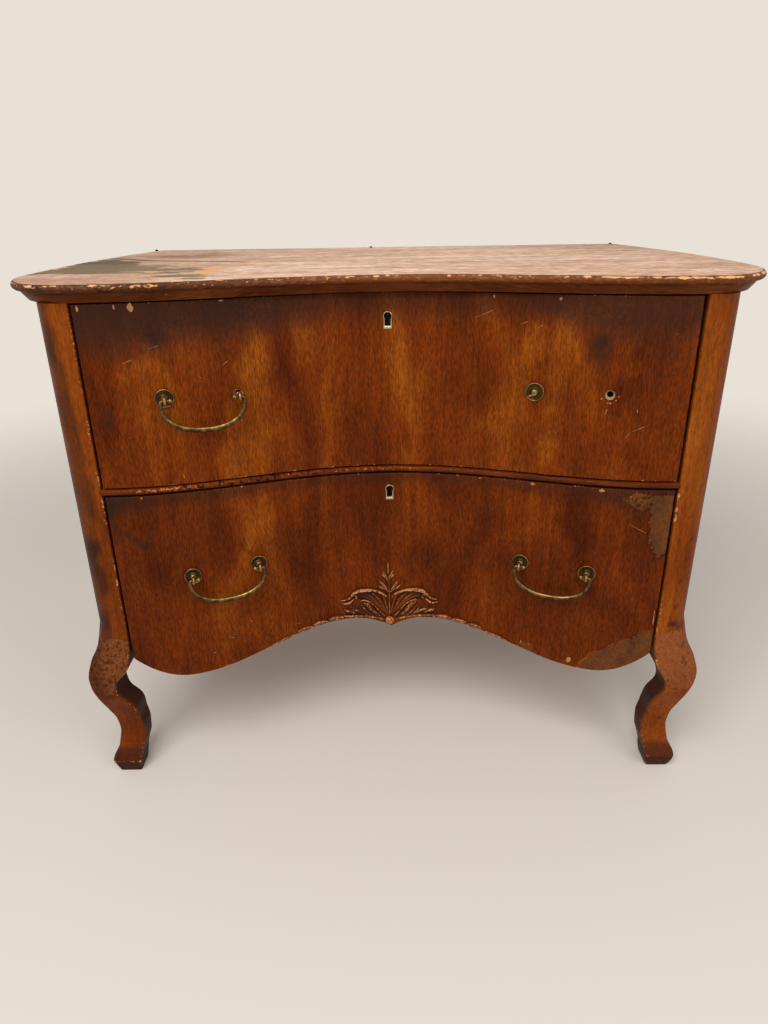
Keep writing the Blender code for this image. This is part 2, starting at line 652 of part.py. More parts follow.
def lock(drawer, word, front, front_top, keyhole_drop):
    """Half-mortise lock: pocket and keyhole in the front, case with key pin, bolt, and keyhole ring."""
    round_z = front_top - keyhole_drop + ESCUTCHEON_HEIGHT / 2 - ESCUTCHEON_ROUND
    face = serpentine(0)
    case_back_face = bolt_place() + LOCK_DEPTH / 2
    case_front_face = case_back_face - LOCK_DEPTH
    half = LOCK_HALF_WIDTH + SEAT
    spare = FRONT_THICKNESS
    pocket = block((-half, -SEAT, -LOCK_HEIGHT - SEAT), (half, LOCK_DEPTH + spare, spare))
    joined(front, f"{word}_lock_pocket", pocket, "DIFFERENCE", (0, case_front_face, front_top))
    recess = keyhole_prism(SEAT, -spare, ESCUTCHEON_DEPTH + SEAT)
    joined(front, f"{word}_keyhole_recess", recess, "DIFFERENCE", (0, face, round_z))
    through = keyhole_prism(-ESCUTCHEON_WALL, -spare, case_front_face - face + SEAT)
    joined(front, f"{word}_keyhole", through, "DIFFERENCE", (0, face, round_z))

    top = front_top - SEAT
    body = block((-LOCK_HALF_WIDTH, 0, -LOCK_HEIGHT + SEAT), (LOCK_HALF_WIDTH, LOCK_DEPTH, 0))
    case = solid(f"lock_case_{word}", body, DARK_STEEL, drawer, (0, case_front_face, top))
    wide = BOLT_HALF_WIDTH + SEAT
    thick = BOLT_THICKNESS / 2 + SEAT
    channel = block((-wide, -thick, -BOLT_HEIGHT - SEAT), (wide, thick, spare))
    joined(case, f"{word}_bolt_channel", channel, "DIFFERENCE", (0, bolt_place(), top))
    sections = []
    for x, z in keyhole(-ESCUTCHEON_WALL):
        away = math.hypot(x, z) / KEY_PIN_RADIUS
        sections.append([
            (x, -SEAT, z),
            (x, KEY_CHAMBER_DEPTH, z),
            (x / away, KEY_CHAMBER_DEPTH, z / away),
            (x / away, -SEAT, z / away),
        ])
    joined(case, f"{word}_key_chamber", skin(sections, True), "DIFFERENCE", (0, case_front_face, round_z))

    half_bolt = BOLT_THICKNESS / 2
    bar = block((-BOLT_HALF_WIDTH, -half_bolt, -BOLT_HEIGHT), (BOLT_HALF_WIDTH, half_bolt, 0))
    solid(f"lock_bolt_{word}", bar, AGED_BRASS, drawer, (0, bolt_place(), top))

    ring = []
    for (x, z), (inner_x, inner_z) in zip(keyhole(0.0), keyhole(-ESCUTCHEON_WALL)):
        ring.append([
            (x, -ESCUTCHEON_PROUD, z),
            (x, ESCUTCHEON_DEPTH, z),
            (inner_x, ESCUTCHEON_DEPTH, inner_z),
            (inner_x, -ESCUTCHEON_PROUD, inner_z),
        ])
    solid(f"escutcheon_{word}", skin(ring, True), AGED_BRASS, drawer, (0, face, round_z))


def drawer_front(drawer, word, bottom, top, edge):
    """Serpentine front with an edge function for its lower outline."""
    sections = []
    for x in stations(DRAWER_HALF_WIDTH):
        face = serpentine(x)
        low = edge(x) - bottom
        sections.append([
            (x, face, low),
            (x, face, top - bottom),
            (x, face + FRONT_THICKNESS, top - bottom),
            (x, face + FRONT_THICKNESS, low),
        ])
    return solid(f"{word}_drawer_front", skin(sections), FLAME_MAHOGANY, drawer, (0, 0, bottom))


def drawer_box(drawer, word, bottom, top):
    """Two grooved sides, a back that stands on the bottom panel, and the panel."""
    inner = BOX_HALF_WIDTH - BOX_SIDE
    groove = inner + GROOVE_DEPTH
    groove_low = GROOVE_RISE - SEAT
    groove_high = GROOVE_RISE + BOTTOM_THICKNESS + SEAT
    section = (
        (BOX_HALF_WIDTH, 0.0),
        (BOX_HALF_WIDTH, top - bottom),
        (inner, top - bottom),
        (inner, groove_high),
        (groove, groove_high),
        (groove, groove_low),
        (inner, groove_low),
        (inner, 0.0),
    )
    for side, hand in (("left", -1), ("right", 1)):
        start = [(hand * x, serpentine(x) + FRONT_THICKNESS + SEAT, z) for x, z in section]
        end = [(hand * x, BOX_END, z) for x, z in section]
        solid(f"{word}_drawer_side_{side}", skin([start, end]), PLAIN_SOFTWOOD, drawer, (0, 0, bottom))
    half = groove - SEAT
    rows = []
    for x in stations(half):
        start = serpentine(x) + FRONT_THICKNESS + SEAT
        corners = ((start, 0.0), (start, BOTTOM_THICKNESS), (BOX_END, BOTTOM_THICKNESS), (BOX_END, 0.0))
        rows.append([(x, y, z) for y, z in corners])
    solid(f"{word}_drawer_bottom", skin(rows), PLAIN_SOFTWOOD, drawer, (0, 0, bottom + GROOVE_RISE))
    back = block((-inner + SEAT, -BOX_BACK, groove_high), (inner - SEAT, 0, top - bottom))
    solid(f"{word}_drawer_back", back, PLAIN_SOFTWOOD, drawer, (0, BOX_END, bottom))


def eye_post(drawer, name, place, turn, whole):
    """Threaded post with collar, nut and eye; a broken one keeps only a stub of its neck."""
    collar_back = -ROSETTE_HEIGHT - ROSETTE_BACK_GAP - SEAT
    collar_front = collar_back - COLLAR_LENGTH
    nut_front = FRONT_THICKNESS * math.cos(turn) + NUT_GAP
    nut_back = nut_front + NUT_LENGTH
    neck_end = EYE_RADIUS - EYE_REACH if whole else collar_front - STUB_LENGTH
    profile = (
        (NECK_RADIUS * NECK_TAPER, neck_end),
        (NECK_RADIUS, collar_front - NECK_FLARE),
        (COLLAR_RADIUS, collar_front),
        (COLLAR_RADIUS, collar_back),
        (NECK_RADIUS, collar_back),
        (NECK_RADIUS, nut_front),
        (NUT_RADIUS, nut_front),
        (NUT_RADIUS, nut_back),
        (NECK_RADIUS, nut_back),
        (NECK_RADIUS, nut_back + NUT_TAIL),
    )
    piece = solid(name, turned(profile, POST_SIDES), AGED_BRASS, drawer, place, turn)
    if not whole:
        return
    rings = []
    for around in steps(0, 2 * math.pi, EYE_STEPS)[:-1]:
        ring = []
        for over in steps(0, 2 * math.pi, EYE_BAR_SIDES)[:-1]:
            away = EYE_RADIUS + EYE_BAR * math.cos(over)
            y = away * math.cos(around) - EYE_REACH
            ring.append((EYE_BAR * math.sin(over), y, away * math.sin(around)))
        rings.append(ring)
    joined(piece, f"{name}_eye", skin(rings, True), "UNION", place, turn)


def rosette(drawer, name, place, turn):
    """Round backplate with a raised rim, a hollow and a boss, bored for the post."""
    hole = NECK_RADIUS + ROSETTE_HOLE_PLAY
    profile = [(hole, -ROSETTE_BACK_GAP), (ROSETTE_RADIUS, -ROSETTE_BACK_GAP)]
    for out, up in ROSETTE_LINES:
        profile.append((ROSETTE_RADIUS * out, -ROSETTE_BACK_GAP - ROSETTE_HEIGHT * up))
    profile.append((hole, -ROSETTE_BACK_GAP - ROSETTE_HEIGHT))
    solid(name, turned_ring(profile, ROSETTE_SIDES), AGED_BRASS, drawer, place, turn)


def bail_path(half_chord):
    """Left half of the bail: ball end, pin through the eye, elbow, then a full curve down to its middle."""
    ball = -half_chord + BAIL_BALL_PLACE
    turn_x = -half_chord - EYE_BAR - BAIL_EYE_PLAY
    path = []
    for angle in steps(-BAIL_BALL_END, math.acos(BAIL_PIN_RADIUS / BAIL_BALL_RADIUS), BAIL_BALL_STEPS):
        path.append((ball - BAIL_BALL_RADIUS * math.sin(angle), 0.0, BAIL_BALL_RADIUS * math.cos(angle)))
    path.append((turn_x, 0.0, BAIL_PIN_RADIUS))
    for angle in steps(0, math.pi / 2, BAIL_ELBOW_STEPS)[1:]:
        x = turn_x - BAIL_ELBOW * math.sin(angle)
        radius = mixed(BAIL_PIN_RADIUS, BAIL_ARM_RADIUS, math.sin(angle))
        path.append((x, BAIL_ELBOW * (math.cos(angle) - 1), radius))
    for angle in steps(0, math.pi / 2, BAIL_CURVE_STEPS)[1:]:
        x = (turn_x - BAIL_ELBOW) * math.cos(angle) ** BAIL_FULLNESS
        z = -BAIL_ELBOW - (BAIL_DROP - BAIL_ELBOW) * math.sin(angle) ** BAIL_FULLNESS
        path.append((x, z, BAIL_ARM_RADIUS))
    return path


def bail(drawer, name, place, turn, tilt, half_chord):
    """Swinging handle swept along its path, heavier at the bottom. Its origin is on the eye line."""
    left = bail_path(half_chord)
    path = left + [(-x, z, radius) for x, z, radius in reversed(left[:-1])]
    rings = []
    for i, (x, z, radius) in enumerate(path):
        before = path[max(i - 1, 0)]
        after = path[min(i + 1, len(path) - 1)]
        heading = math.atan2(after[1] - before[1], after[0] - before[0])
        belly = min(max(-z / BAIL_DROP, 0.0), 1.0) ** 2
        height = radius + (BAIL_BELLY_HEIGHT - BAIL_ARM_RADIUS) * belly
        depth = radius + (BAIL_BELLY_DEPTH - BAIL_ARM_RADIUS) * belly
        ring = []
        for angle in steps(0, 2 * math.pi, BAIL_SIDES)[:-1]:
            lift = height * math.cos(angle)
            ring.append((x - lift * math.sin(heading), depth * math.sin(angle), z + lift * math.cos(heading)))
        rings.append(ring)
    piece = solid(name, skin(rings), AGED_BRASS, drawer, place, turn)
    piece.rotation_euler.y = tilt


def pull(drawer, front, level, side, hand, posts, rosettes, has_bail):
    """Pull at one flank. posts says whole, stub or missing, rosettes names the places that kept theirs."""
    height = UPPER_FRONT_BOTTOM + UPPER_PULL_RISE if level == "upper" else LEG_HEIGHT + LOWER_PULL_RISE
    places = {}
    for spot, (share, rise) in zip(("inner", "outer"), PULL_PLACE_SHARES[f"{level}_{side}"]):
        x = hand * share * DRAWER_HALF_WIDTH
        places[spot] = (x, serpentine(x), height + rise * DRAWER_HALF_WIDTH)
    left, right = sorted(places.values())
    across, back, up = [end - start for start, end in zip(left, right)]
    turn = math.atan(back / across)
    for spot, place in places.items():
        name = f"{level}_{side}_{spot}"
        ends = (-FRONT_THICKNESS, 2 * FRONT_THICKNESS)
        bore = turned([(PULL_HOLE_RADIUS, end) for end in ends], HOLE_SIDES)
        joined(front, f"pull_hole_{name}", bore, "DIFFERENCE", place, turn)
        if posts[spot] != "missing":
            eye_post(drawer, f"pull_post_{name}", place, turn, posts[spot] == "whole")
        if spot in rosettes:
            rosette(drawer, f"rosette_{name}", place, face_turn(place[0]))
        else:
            ends = (-FRONT_THICKNESS, PULL_RECESS_DEPTH)
            recess = turned([(PULL_RECESS_RADIUS, end) for end in ends], HOLE_SIDES)
            joined(front, f"pull_recess_{name}", recess, "DIFFERENCE", place, turn)
    if has_bail:
        middle = [(start + end) / 2 for start, end in zip(left, right)]
        eye_line = (
            middle[0] + EYE_REACH * math.sin(turn),
            middle[1] - EYE_REACH * math.cos(turn),
            middle[2],
        )
        run = math.hypot(across, back)
        bail(drawer, f"bail_{level}_{side}", eye_line, turn, -math.atan(up / run), math.hypot(run, up) / 2)


def bent_plate(name, outline, drawer, base):
    """Plate cut to an outline of (x, z) points and bent to lie on the serpentine face."""
    build = mesh_of(skin([[(x, y, z) for x, z in outline] for y in (-SEAT, -CARVING_RELIEF)]))
    cut = -math.inf
    for x in sorted(x for x, z in outline):
        if x - cut < BEND_STEP:
            continue
        cut = x
        everything = list(build.verts) + list(build.edges) + list(build.faces)
        bmesh.ops.bisect_plane(build, geom=everything, dist=BEND_SNAP, plane_co=(x, 0, 0), plane_no=(1, 0, 0))
    for corner in build.verts:
        corner.co.y += serpentine(corner.co.x)
    piece = placed(name, build, drawer, (0, 0, base), 0.0)
    piece.data.materials.append(finish_of(name, CARVED_MAHOGANY))


def carving(drawer):
    right = list(CREST_HALF)
    outline = right + [(-x, z) for x, z in reversed(right[1:-1])]
    bent_plate("carving_crest", outline, drawer, PENDANT_TIP)
    for side, hand in (("left", -1), ("right", 1)):
        places = steps(SPRAY_START, SPRAY_END, 2 * SPRAY_LEAVES)
        lower = [(x, apron(x) - PENDANT_TIP + SPRAY_EDGE_GAP) for x in places]
        upper = []
        for i, (x, z) in enumerate(lower):
            share = i / (2 * SPRAY_LEAVES)
            tall = SPRAY_HEIGHT + (SPRAY_TIP_HEIGHT - SPRAY_HEIGHT) * share
            upper.append((x, z + tall * (SPRAY_NOTCH if i % 2 else 1.0)))
        outline = [(hand * x, z) for x, z in lower + upper[::-1]]
        bent_plate(f"carving_spray_{side}", outline, drawer, PENDANT_TIP)


def main():
    for old in list(bpy.data.objects):
        bpy.data.objects.remove(old)
    chest = empty("chest", None, (0, -(TOP_BACK - FRONT_OVERHANG) / 2, 0))
    upper = empty("upper_drawer", chest)
    lower = empty("lower_drawer", chest)

    top_board(chest)
    moulding_front(chest)
    case_back(chest)
    mid_rail(chest)
    front_bottom_rail(chest)
    for side, hand in (("left", -1), ("right", 1)):
        moulding_side(chest, f"top_moulding_{side}", hand)
        front_post(chest, f"front_post_{side}", hand)
        rear_post(chest, f"rear_post_{side}", hand)
        side_frame(chest, side, hand)
        panel_face = SIDE_PANEL_INSET + SIDE_PANEL_THICKNESS
        runner(chest, f"runner_upper_{side}", hand, MID_RAIL_TOP, panel_face)
        runner(chest, f"runner_lower_{side}", hand, LOWER_RUNNER_TOP, SIDE_RAIL_THICKNESS)

    straight = lambda x: UPPER_FRONT_BOTTOM
    upper_front = drawer_front(upper, "upper", UPPER_FRONT_BOTTOM, UPPER_FRONT_TOP, straight)
    lower_front = drawer_front(lower, "lower", LEG_HEIGHT, LOWER_FRONT_TOP, apron)
    drawer_box(upper, "upper", MID_RAIL_TOP + BOX_PLAY, UPPER_FRONT_TOP - BOX_TOP_DROP)
    drawer_box(lower, "lower", LOWER_RUNNER_TOP + BOX_PLAY, LOWER_FRONT_TOP - BOX_TOP_DROP)
    lock(upper, "upper", upper_front, UPPER_FRONT_TOP, UPPER_KEYHOLE_DROP)
    lock(lower, "lower", lower_front, LOWER_FRONT_TOP, LOWER_KEYHOLE_DROP)

    whole = {"inner": "whole", "outer": "whole"}
    broken = {"inner": "stub", "outer": "missing"}
    pull(upper, upper_front, "upper", "left", -1, whole, ("outer",), True)
    pull(upper, upper_front, "upper", "right", 1, broken, ("inner",), False)
    pull(lower, lower_front, "lower", "left", -1, whole, ("inner", "outer"), True)
    pull(lower, lower_front, "lower", "right", 1, whole, ("inner", "outer"), True)
    carving(lower)


main()
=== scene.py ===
import math

import bmesh
import bpy
import numpy as np
from mathutils import Matrix


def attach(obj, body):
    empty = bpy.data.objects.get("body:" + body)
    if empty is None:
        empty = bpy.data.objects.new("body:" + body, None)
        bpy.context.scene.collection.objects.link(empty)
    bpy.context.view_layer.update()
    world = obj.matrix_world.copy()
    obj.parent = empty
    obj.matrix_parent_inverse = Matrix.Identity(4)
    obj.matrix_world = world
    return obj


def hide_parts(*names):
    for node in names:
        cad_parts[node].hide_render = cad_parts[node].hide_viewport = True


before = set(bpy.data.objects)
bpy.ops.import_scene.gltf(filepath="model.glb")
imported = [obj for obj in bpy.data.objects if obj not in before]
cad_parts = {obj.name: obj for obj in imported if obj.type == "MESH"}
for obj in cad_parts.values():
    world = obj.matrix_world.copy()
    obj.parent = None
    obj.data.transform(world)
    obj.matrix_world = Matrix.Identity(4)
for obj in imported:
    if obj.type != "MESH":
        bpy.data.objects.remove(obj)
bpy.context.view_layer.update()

scene = bpy.context.scene
depthShift = -0.24925  # case depths start at the crest of the front, the part's at its middle
hands = {"left": -1, "right": 1}


def linear(text):
    # sRGB hex to linear light
    share = np.array([int(text[i:i + 2], 16) for i in (1, 3, 5)]) / 255
    light = np.where(share <= 0.04045, share / 12.92, ((share + 0.055) / 1.055) ** 2.4)
    return tuple(float(v) for v in light) + (1.0,)


def addNode(tree, kind, inputs=None, **settings):
    # node with its settings; each input is a value or a link
    node = tree.nodes.new("ShaderNode" + kind)
    for key, value in settings.items():
        setattr(node, key, value)
    for key, value in (inputs or {}).items():
        if isinstance(value, bpy.types.NodeSocket):
            tree.links.new(value, node.inputs[key])
        else:
            node.inputs[key].default_value = value
    return node


def addObject(name, data):
    # object linked into the scene, at the origin
    thing = bpy.data.objects.new(name, data)
    scene.collection.objects.link(thing)
    return thing


# Surfaces on a grid of points, and the pieces made of them

def pointGrid(x, y, z):
    # three coordinates, spread over one another, as one grid of points
    return np.stack(np.broadcast_arrays(x, y, z), -1)


def fullTurn(count):
    # even angles round a circle, the last one short of the first
    return np.linspace(0, 2 * np.pi, count, endpoint=False)


def gridShell(points, closeU=False, closeV=False, capU=False, fields=None):
    # quads between neighbours of a grid; a cap is one polygon over an open end
    rows, columns = points.shape[:2]
    index = np.arange(rows * columns).reshape(rows, columns)
    ends = [index[0], index[-1]] if capU else []
    if closeU:
        index = np.vstack([index, index[:1]])
    if closeV:
        index = np.hstack([index, index[:, :1]])
    quads = np.stack([index[:-1, :-1], index[1:, :-1], index[1:, 1:], index[:-1, 1:]], -1)
    flat = {}
    for key, value in (fields or {}).items():
        flat[key] = np.broadcast_to(value, (rows, columns)).reshape(-1)
    return points.reshape(-1, 3), quads.reshape(-1, 4), ends, flat


def flatShell(points, fields):
    # flat grid kept as its outer ring of quads, and one polygon over all that lies within it
    spots, quads, ends, flat = gridShell(points, fields=fields)
    rows, columns = points.shape[:2]
    outer = np.ones((rows - 1, columns - 1), bool)
    outer[1:-1, 1:-1] = False
    quads = quads[outer.reshape(-1)]
    inner = np.arange(rows * columns).reshape(rows, columns)[1:-1, 1:-1]
    ring = np.concatenate([inner[0], inner[1:, -1], inner[-1, -2::-1], inner[-2:0:-1, 0]])
    used, place = np.unique(np.concatenate([quads.reshape(-1), ring]), return_inverse=True)
    flat = {key: value[used] for key, value in flat.items()}
    return spots[used], place[:quads.size].reshape(-1, 4), [place[quads.size:]], flat


def makeMesh(name, shells, sharp):
    # shells joined into one mesh, with their fields on its points and its faces turned out
    starts = np.cumsum([0] + [len(shell[0]) for shell in shells])
    points = np.vstack([shell[0] for shell in shells]) + (0, depthShift, 0)
    faces = np.vstack([shell[1] + start for shell, start in zip(shells, starts)]).tolist()
    for shell, start in zip(shells, starts):
        faces += [(end + start).tolist() for end in shell[2]]
    mesh = bpy.data.meshes.new(name)
    mesh.from_pydata(points.tolist(), [], faces)
    for key in sorted(set(key for shell in shells for key in shell[3])):
        values = [shell[3].get(key, np.zeros(len(shell[0]))) for shell in shells]
        layer = mesh.attributes.new(key, "FLOAT", "POINT")
        layer.data.foreach_set("value", np.concatenate(values).astype(np.float32))
    build = bmesh.new()
    build.from_mesh(mesh)
    bmesh.ops.remove_doubles(build, verts=build.verts, dist=2e-6)
    bmesh.ops.dissolve_degenerate(build, edges=build.edges, dist=1e-7)
    bmesh.ops.recalc_face_normals(build, faces=build.faces)
    # caps become triangles here, because a cut leaves slits round a cap that isn't quite flat
    caps = [face for face in build.faces if len(face.verts) > 4]
    bmesh.ops.triangulate(build, faces=caps, ngon_method="EAR_CLIP")
    build.to_mesh(mesh)
    build.free()
    mesh.shade_smooth()
    mesh.set_sharp_from_angle(angle=math.radians(sharp))
    return mesh


def makePiece(name, shells, material, body, hides=None, cutters=(), sharp=40):
    # finished piece: cut, painted, and given its body and the node it hides
    piece = addObject(name, makeMesh(name, shells, sharp))
    for cutter in cutters:
        tool = addObject(name + "Cutter", makeMesh(name + "Cutter", cutter, sharp))
        cut = piece.modifiers.new("cut", "BOOLEAN")
        cut.operation = "DIFFERENCE"
        cut.solver = "EXACT"
        cut.object = tool
        done = piece.evaluated_get(bpy.context.evaluated_depsgraph_get())
        mesh = bpy.data.meshes.new_from_object(done)
        piece.modifiers.clear()
        piece.data = mesh
        bpy.data.objects.remove(tool)
    piece.data.materials.clear()
    piece.data.materials.append(material)
    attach(piece, body)
    if hides:
        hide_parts(hides)


def boxShell(low, high):
    # box between two opposite corners
    (x0, y0, z0), (x1, y1, z1) = low, high
    ring = [[(x, y0, z0), (x, y1, z0), (x, y1, z1), (x, y0, z1)] for x in (x0, x1)]
    return gridShell(np.array(ring, float), closeV=True, capU=True)


def valueNoise(x, y, z, cell, seed):
    # random values on a lattice of one cell's spacing, eased between its corners, from -1 to 1
    spot = pointGrid(x, y, z) / cell
    base = np.floor(spot).astype(np.int64)
    ease = spot - base
    ease = ease * ease * (3 - 2 * ease)
    total = 0.0
    for corner in np.ndindex(2, 2, 2):
        n = base + corner
        # large primes scatter the lattice's numbers into a code, and its lowest 16 bits are the value
        code = n[..., 0] * 374761393 + n[..., 1] * 668265263 + n[..., 2] * 1274126177 + seed * 974634777
        code = ((code ^ (code >> 13)) * 1274126177) & 0xffffffff
        value = ((code ^ (code >> 16)) & 0xffff) / 65535
        total = total + value * np.prod(np.where(corner, ease, 1 - ease), -1)
    return total * 2 - 1


def blobs(x, z, spots, ragged=0.0):
    # sum of soft round spots: middle and half-sizes in millimetres, amount in hundredths;
    # ragged moves their edges to and fro
    if ragged:
        x, z = (x + ragged * valueNoise(x, z, 0, 0.018, 71),
                z + 1.6 * ragged * valueNoise(x, z, 0, 0.030, 72))
    total = np.zeros(np.broadcast(x, z).shape)
    for spotX, spotZ, wide, tall, amount in spots:
        total = total + amount * np.exp(-((1000 * x - spotX) / wide) ** 2 - ((1000 * z - spotZ) / tall) ** 2)
    return total / 100


def insideDistance(x, z, corners):
    # millimetres to the nearest edge of an outline in millimetres, positive inside it
    x, z, corners = 1000 * x, 1000 * z, np.array(corners, float)
    best, inside = np.full(x.shape, np.inf), np.zeros(x.shape, bool)
    for (x0, z0), (x1, z1) in zip(corners, np.roll(corners, -1, 0)):
        run, rise = x1 - x0, z1 - z0 + 1e-6  # a level edge rises a little, so nothing is divided by zero
        share = np.clip(((x - x0) * run + (z - z0) * rise) / (run ** 2 + rise ** 2), 0, 1)
        best = np.minimum(best, np.hypot(x - x0 - share * run, z - z0 - share * rise))
        inside ^= ((z0 > z) != (z1 > z)) & (x < x0 + (z - z0) * run / rise)
    return np.where(inside, best, -best)


def smoothStep(value, low, high):
    # from 0 at low to 1 at high, level at both: three squares less two cubes of the share
    share = np.clip((value - low) / (high - low), 0, 1)
    return share * share * (3 - 2 * share)


def smoothLine(knots, at):
    # smooth curve through rows of values, the first column being the place
    knots = np.asarray(knots, float)
    knots = knots[np.argsort(knots[:, 0])]
    place, value = knots[:, 0], knots[:, 1:]
    step = np.diff(place)[:, None]
    rise = np.diff(value, axis=0) / step
    slope = np.zeros_like(value)
    same = rise[:-1] * rise[1:] > 0
    weight = (step[:-1] + step[1:]) * 3
    left = 2 * step[1:] + step[:-1]
    right = step[1:] + 2 * step[:-1]
    safe = np.where(same, left / np.where(same, rise[:-1], 1) + right / np.where(same, rise[1:], 1), 1)
    slope[1:-1] = np.where(same, weight / safe, 0)
    slope[0], slope[-1] = rise[0], rise[-1]
    at = np.clip(at, place[0], place[-1])
    i = np.clip(np.searchsorted(place, at, side="right") - 1, 0, len(place) - 2)
    t = ((at - place[i]) / step[i, 0])[..., None]
    h = step[i]
    return ((1 + 2 * t) * (1 - t) ** 2 * value[i] + t * (1 - t) ** 2 * h * slope[i]
            + t * t * (3 - 2 * t) * value[i + 1] + t * t * (t - 1) * h * slope[i + 1])


def lineAcross(knots, x):
    # one smooth value over the width: place in millimetres, value in hundredths
    return smoothLine(knots, 1000 * x)[..., 0] / 100


# Shapes that several pieces share, in the case's metres

drawerHalf = 0.380
swell = 0.0792
frontThick = 0.021
apronSizes = {"arch": 0.229, "archEnd": 0.065, "pendant": 0.017, "pendantHalf": 0.06, "low": 0.1746,
              "fall": 0.0544, "fallRun": 0.235, "lobe": 0.0364, "lobeStart": 0.30, "lobeRun": 0.08}
# half-mortise lock: its bolt's mortise, and the pocket cut for its case
lockSizes = {"boltHalf": 0.0103, "boltFront": 0.0913, "boltBack": 0.0969, "boltBelow": 0.004,
             "boltRise": 0.0058, "front": 0.0891, "half": 0.0293, "back": 0.13, "below": 0.0523,
             "above": 0.02, "slack": 0.0003}


def serpentine(x):
    # one cosine wave across the drawers: hollow in the middle, full at the flanks
    return swell * (1 + np.cos(np.pi * np.clip(x, -drawerHalf, drawerHalf) / drawerHalf)) / 2


def faceTurn(x):
    # turn of the serpentine's normal, from the wave's slope
    return np.arctan(-swell * np.pi / (2 * drawerHalf) * np.sin(np.pi * x / drawerHalf))


def onFace(x, z, lift):
    # point that stands off the serpentine face along its normal
    turn = faceTurn(np.clip(x, -drawerHalf, drawerHalf))
    return pointGrid(x + lift * np.sin(turn), serpentine(x) - lift * np.cos(turn), z)


def apron(x):
    # lower drawer's shaped edge: pendant, arch, falling cosine, rising lobe
    a, x = apronSizes, np.abs(x)
    pendant = a["arch"] - a["pendant"] * np.clip(1 - x / a["pendantHalf"], 0, 1) ** 2
    share = np.clip((x - a["archEnd"]) / a["fallRun"], 0, 1)
    fall = a["low"] + a["fall"] * (1 + np.cos(np.pi * share)) / 2
    lobe = a["low"] + a["lobe"] * np.clip((x - a["lobeStart"]) / a["lobeRun"], 0, 1) ** 2
    return np.where(x < a["archEnd"], pendant, np.where(x < a["lobeStart"], fall, lobe))


def spun(local, place, turn):
    # turned about z, then set in its place
    x, y, z = np.moveaxis(local, -1, 0)
    c, s = math.cos(turn), math.sin(turn)
    return pointGrid(x * c - y * s, x * s + y * c, z) + place


def turned(profile, place, turn, sides):
    # profile of radius and depth in millimetres, spun about the depth axis
    angle = fullTurn(sides)
    radius, depth = np.asarray(profile, float).T[..., None] / 1000
    return spun(pointGrid(radius * np.cos(angle), depth, radius * np.sin(angle)), place, turn)


def ballGrid(rows, sides):
    # unit ball: the rows climb from pole to pole, the sides go round
    a, b = np.linspace(-np.pi / 2, np.pi / 2, rows)[:, None], fullTurn(sides)
    return np.cos(a) * np.cos(b), np.cos(a) * np.sin(b), np.sin(a) + 0 * b


def boltMortise(low):
    # slot that a lock's bolt slides up into
    k = lockSizes
    return boxShell((-k["boltHalf"], k["boltFront"], low - k["boltBelow"]),
                    (k["boltHalf"], k["boltBack"], low + k["boltRise"]))


# Materials

blend = {"data_type": "RGBA"}
multiply = {"data_type": "RGBA", "blend_type": "MULTIPLY"}


def startMaterial(name):
    # new material, its tree, its shader and the place on the object
    material = bpy.data.materials.new(name)
    material.use_nodes = True
    tree = material.node_tree
    return material, tree, tree.nodes["Principled BSDF"], addNode(tree, "TexCoord").outputs["Object"]


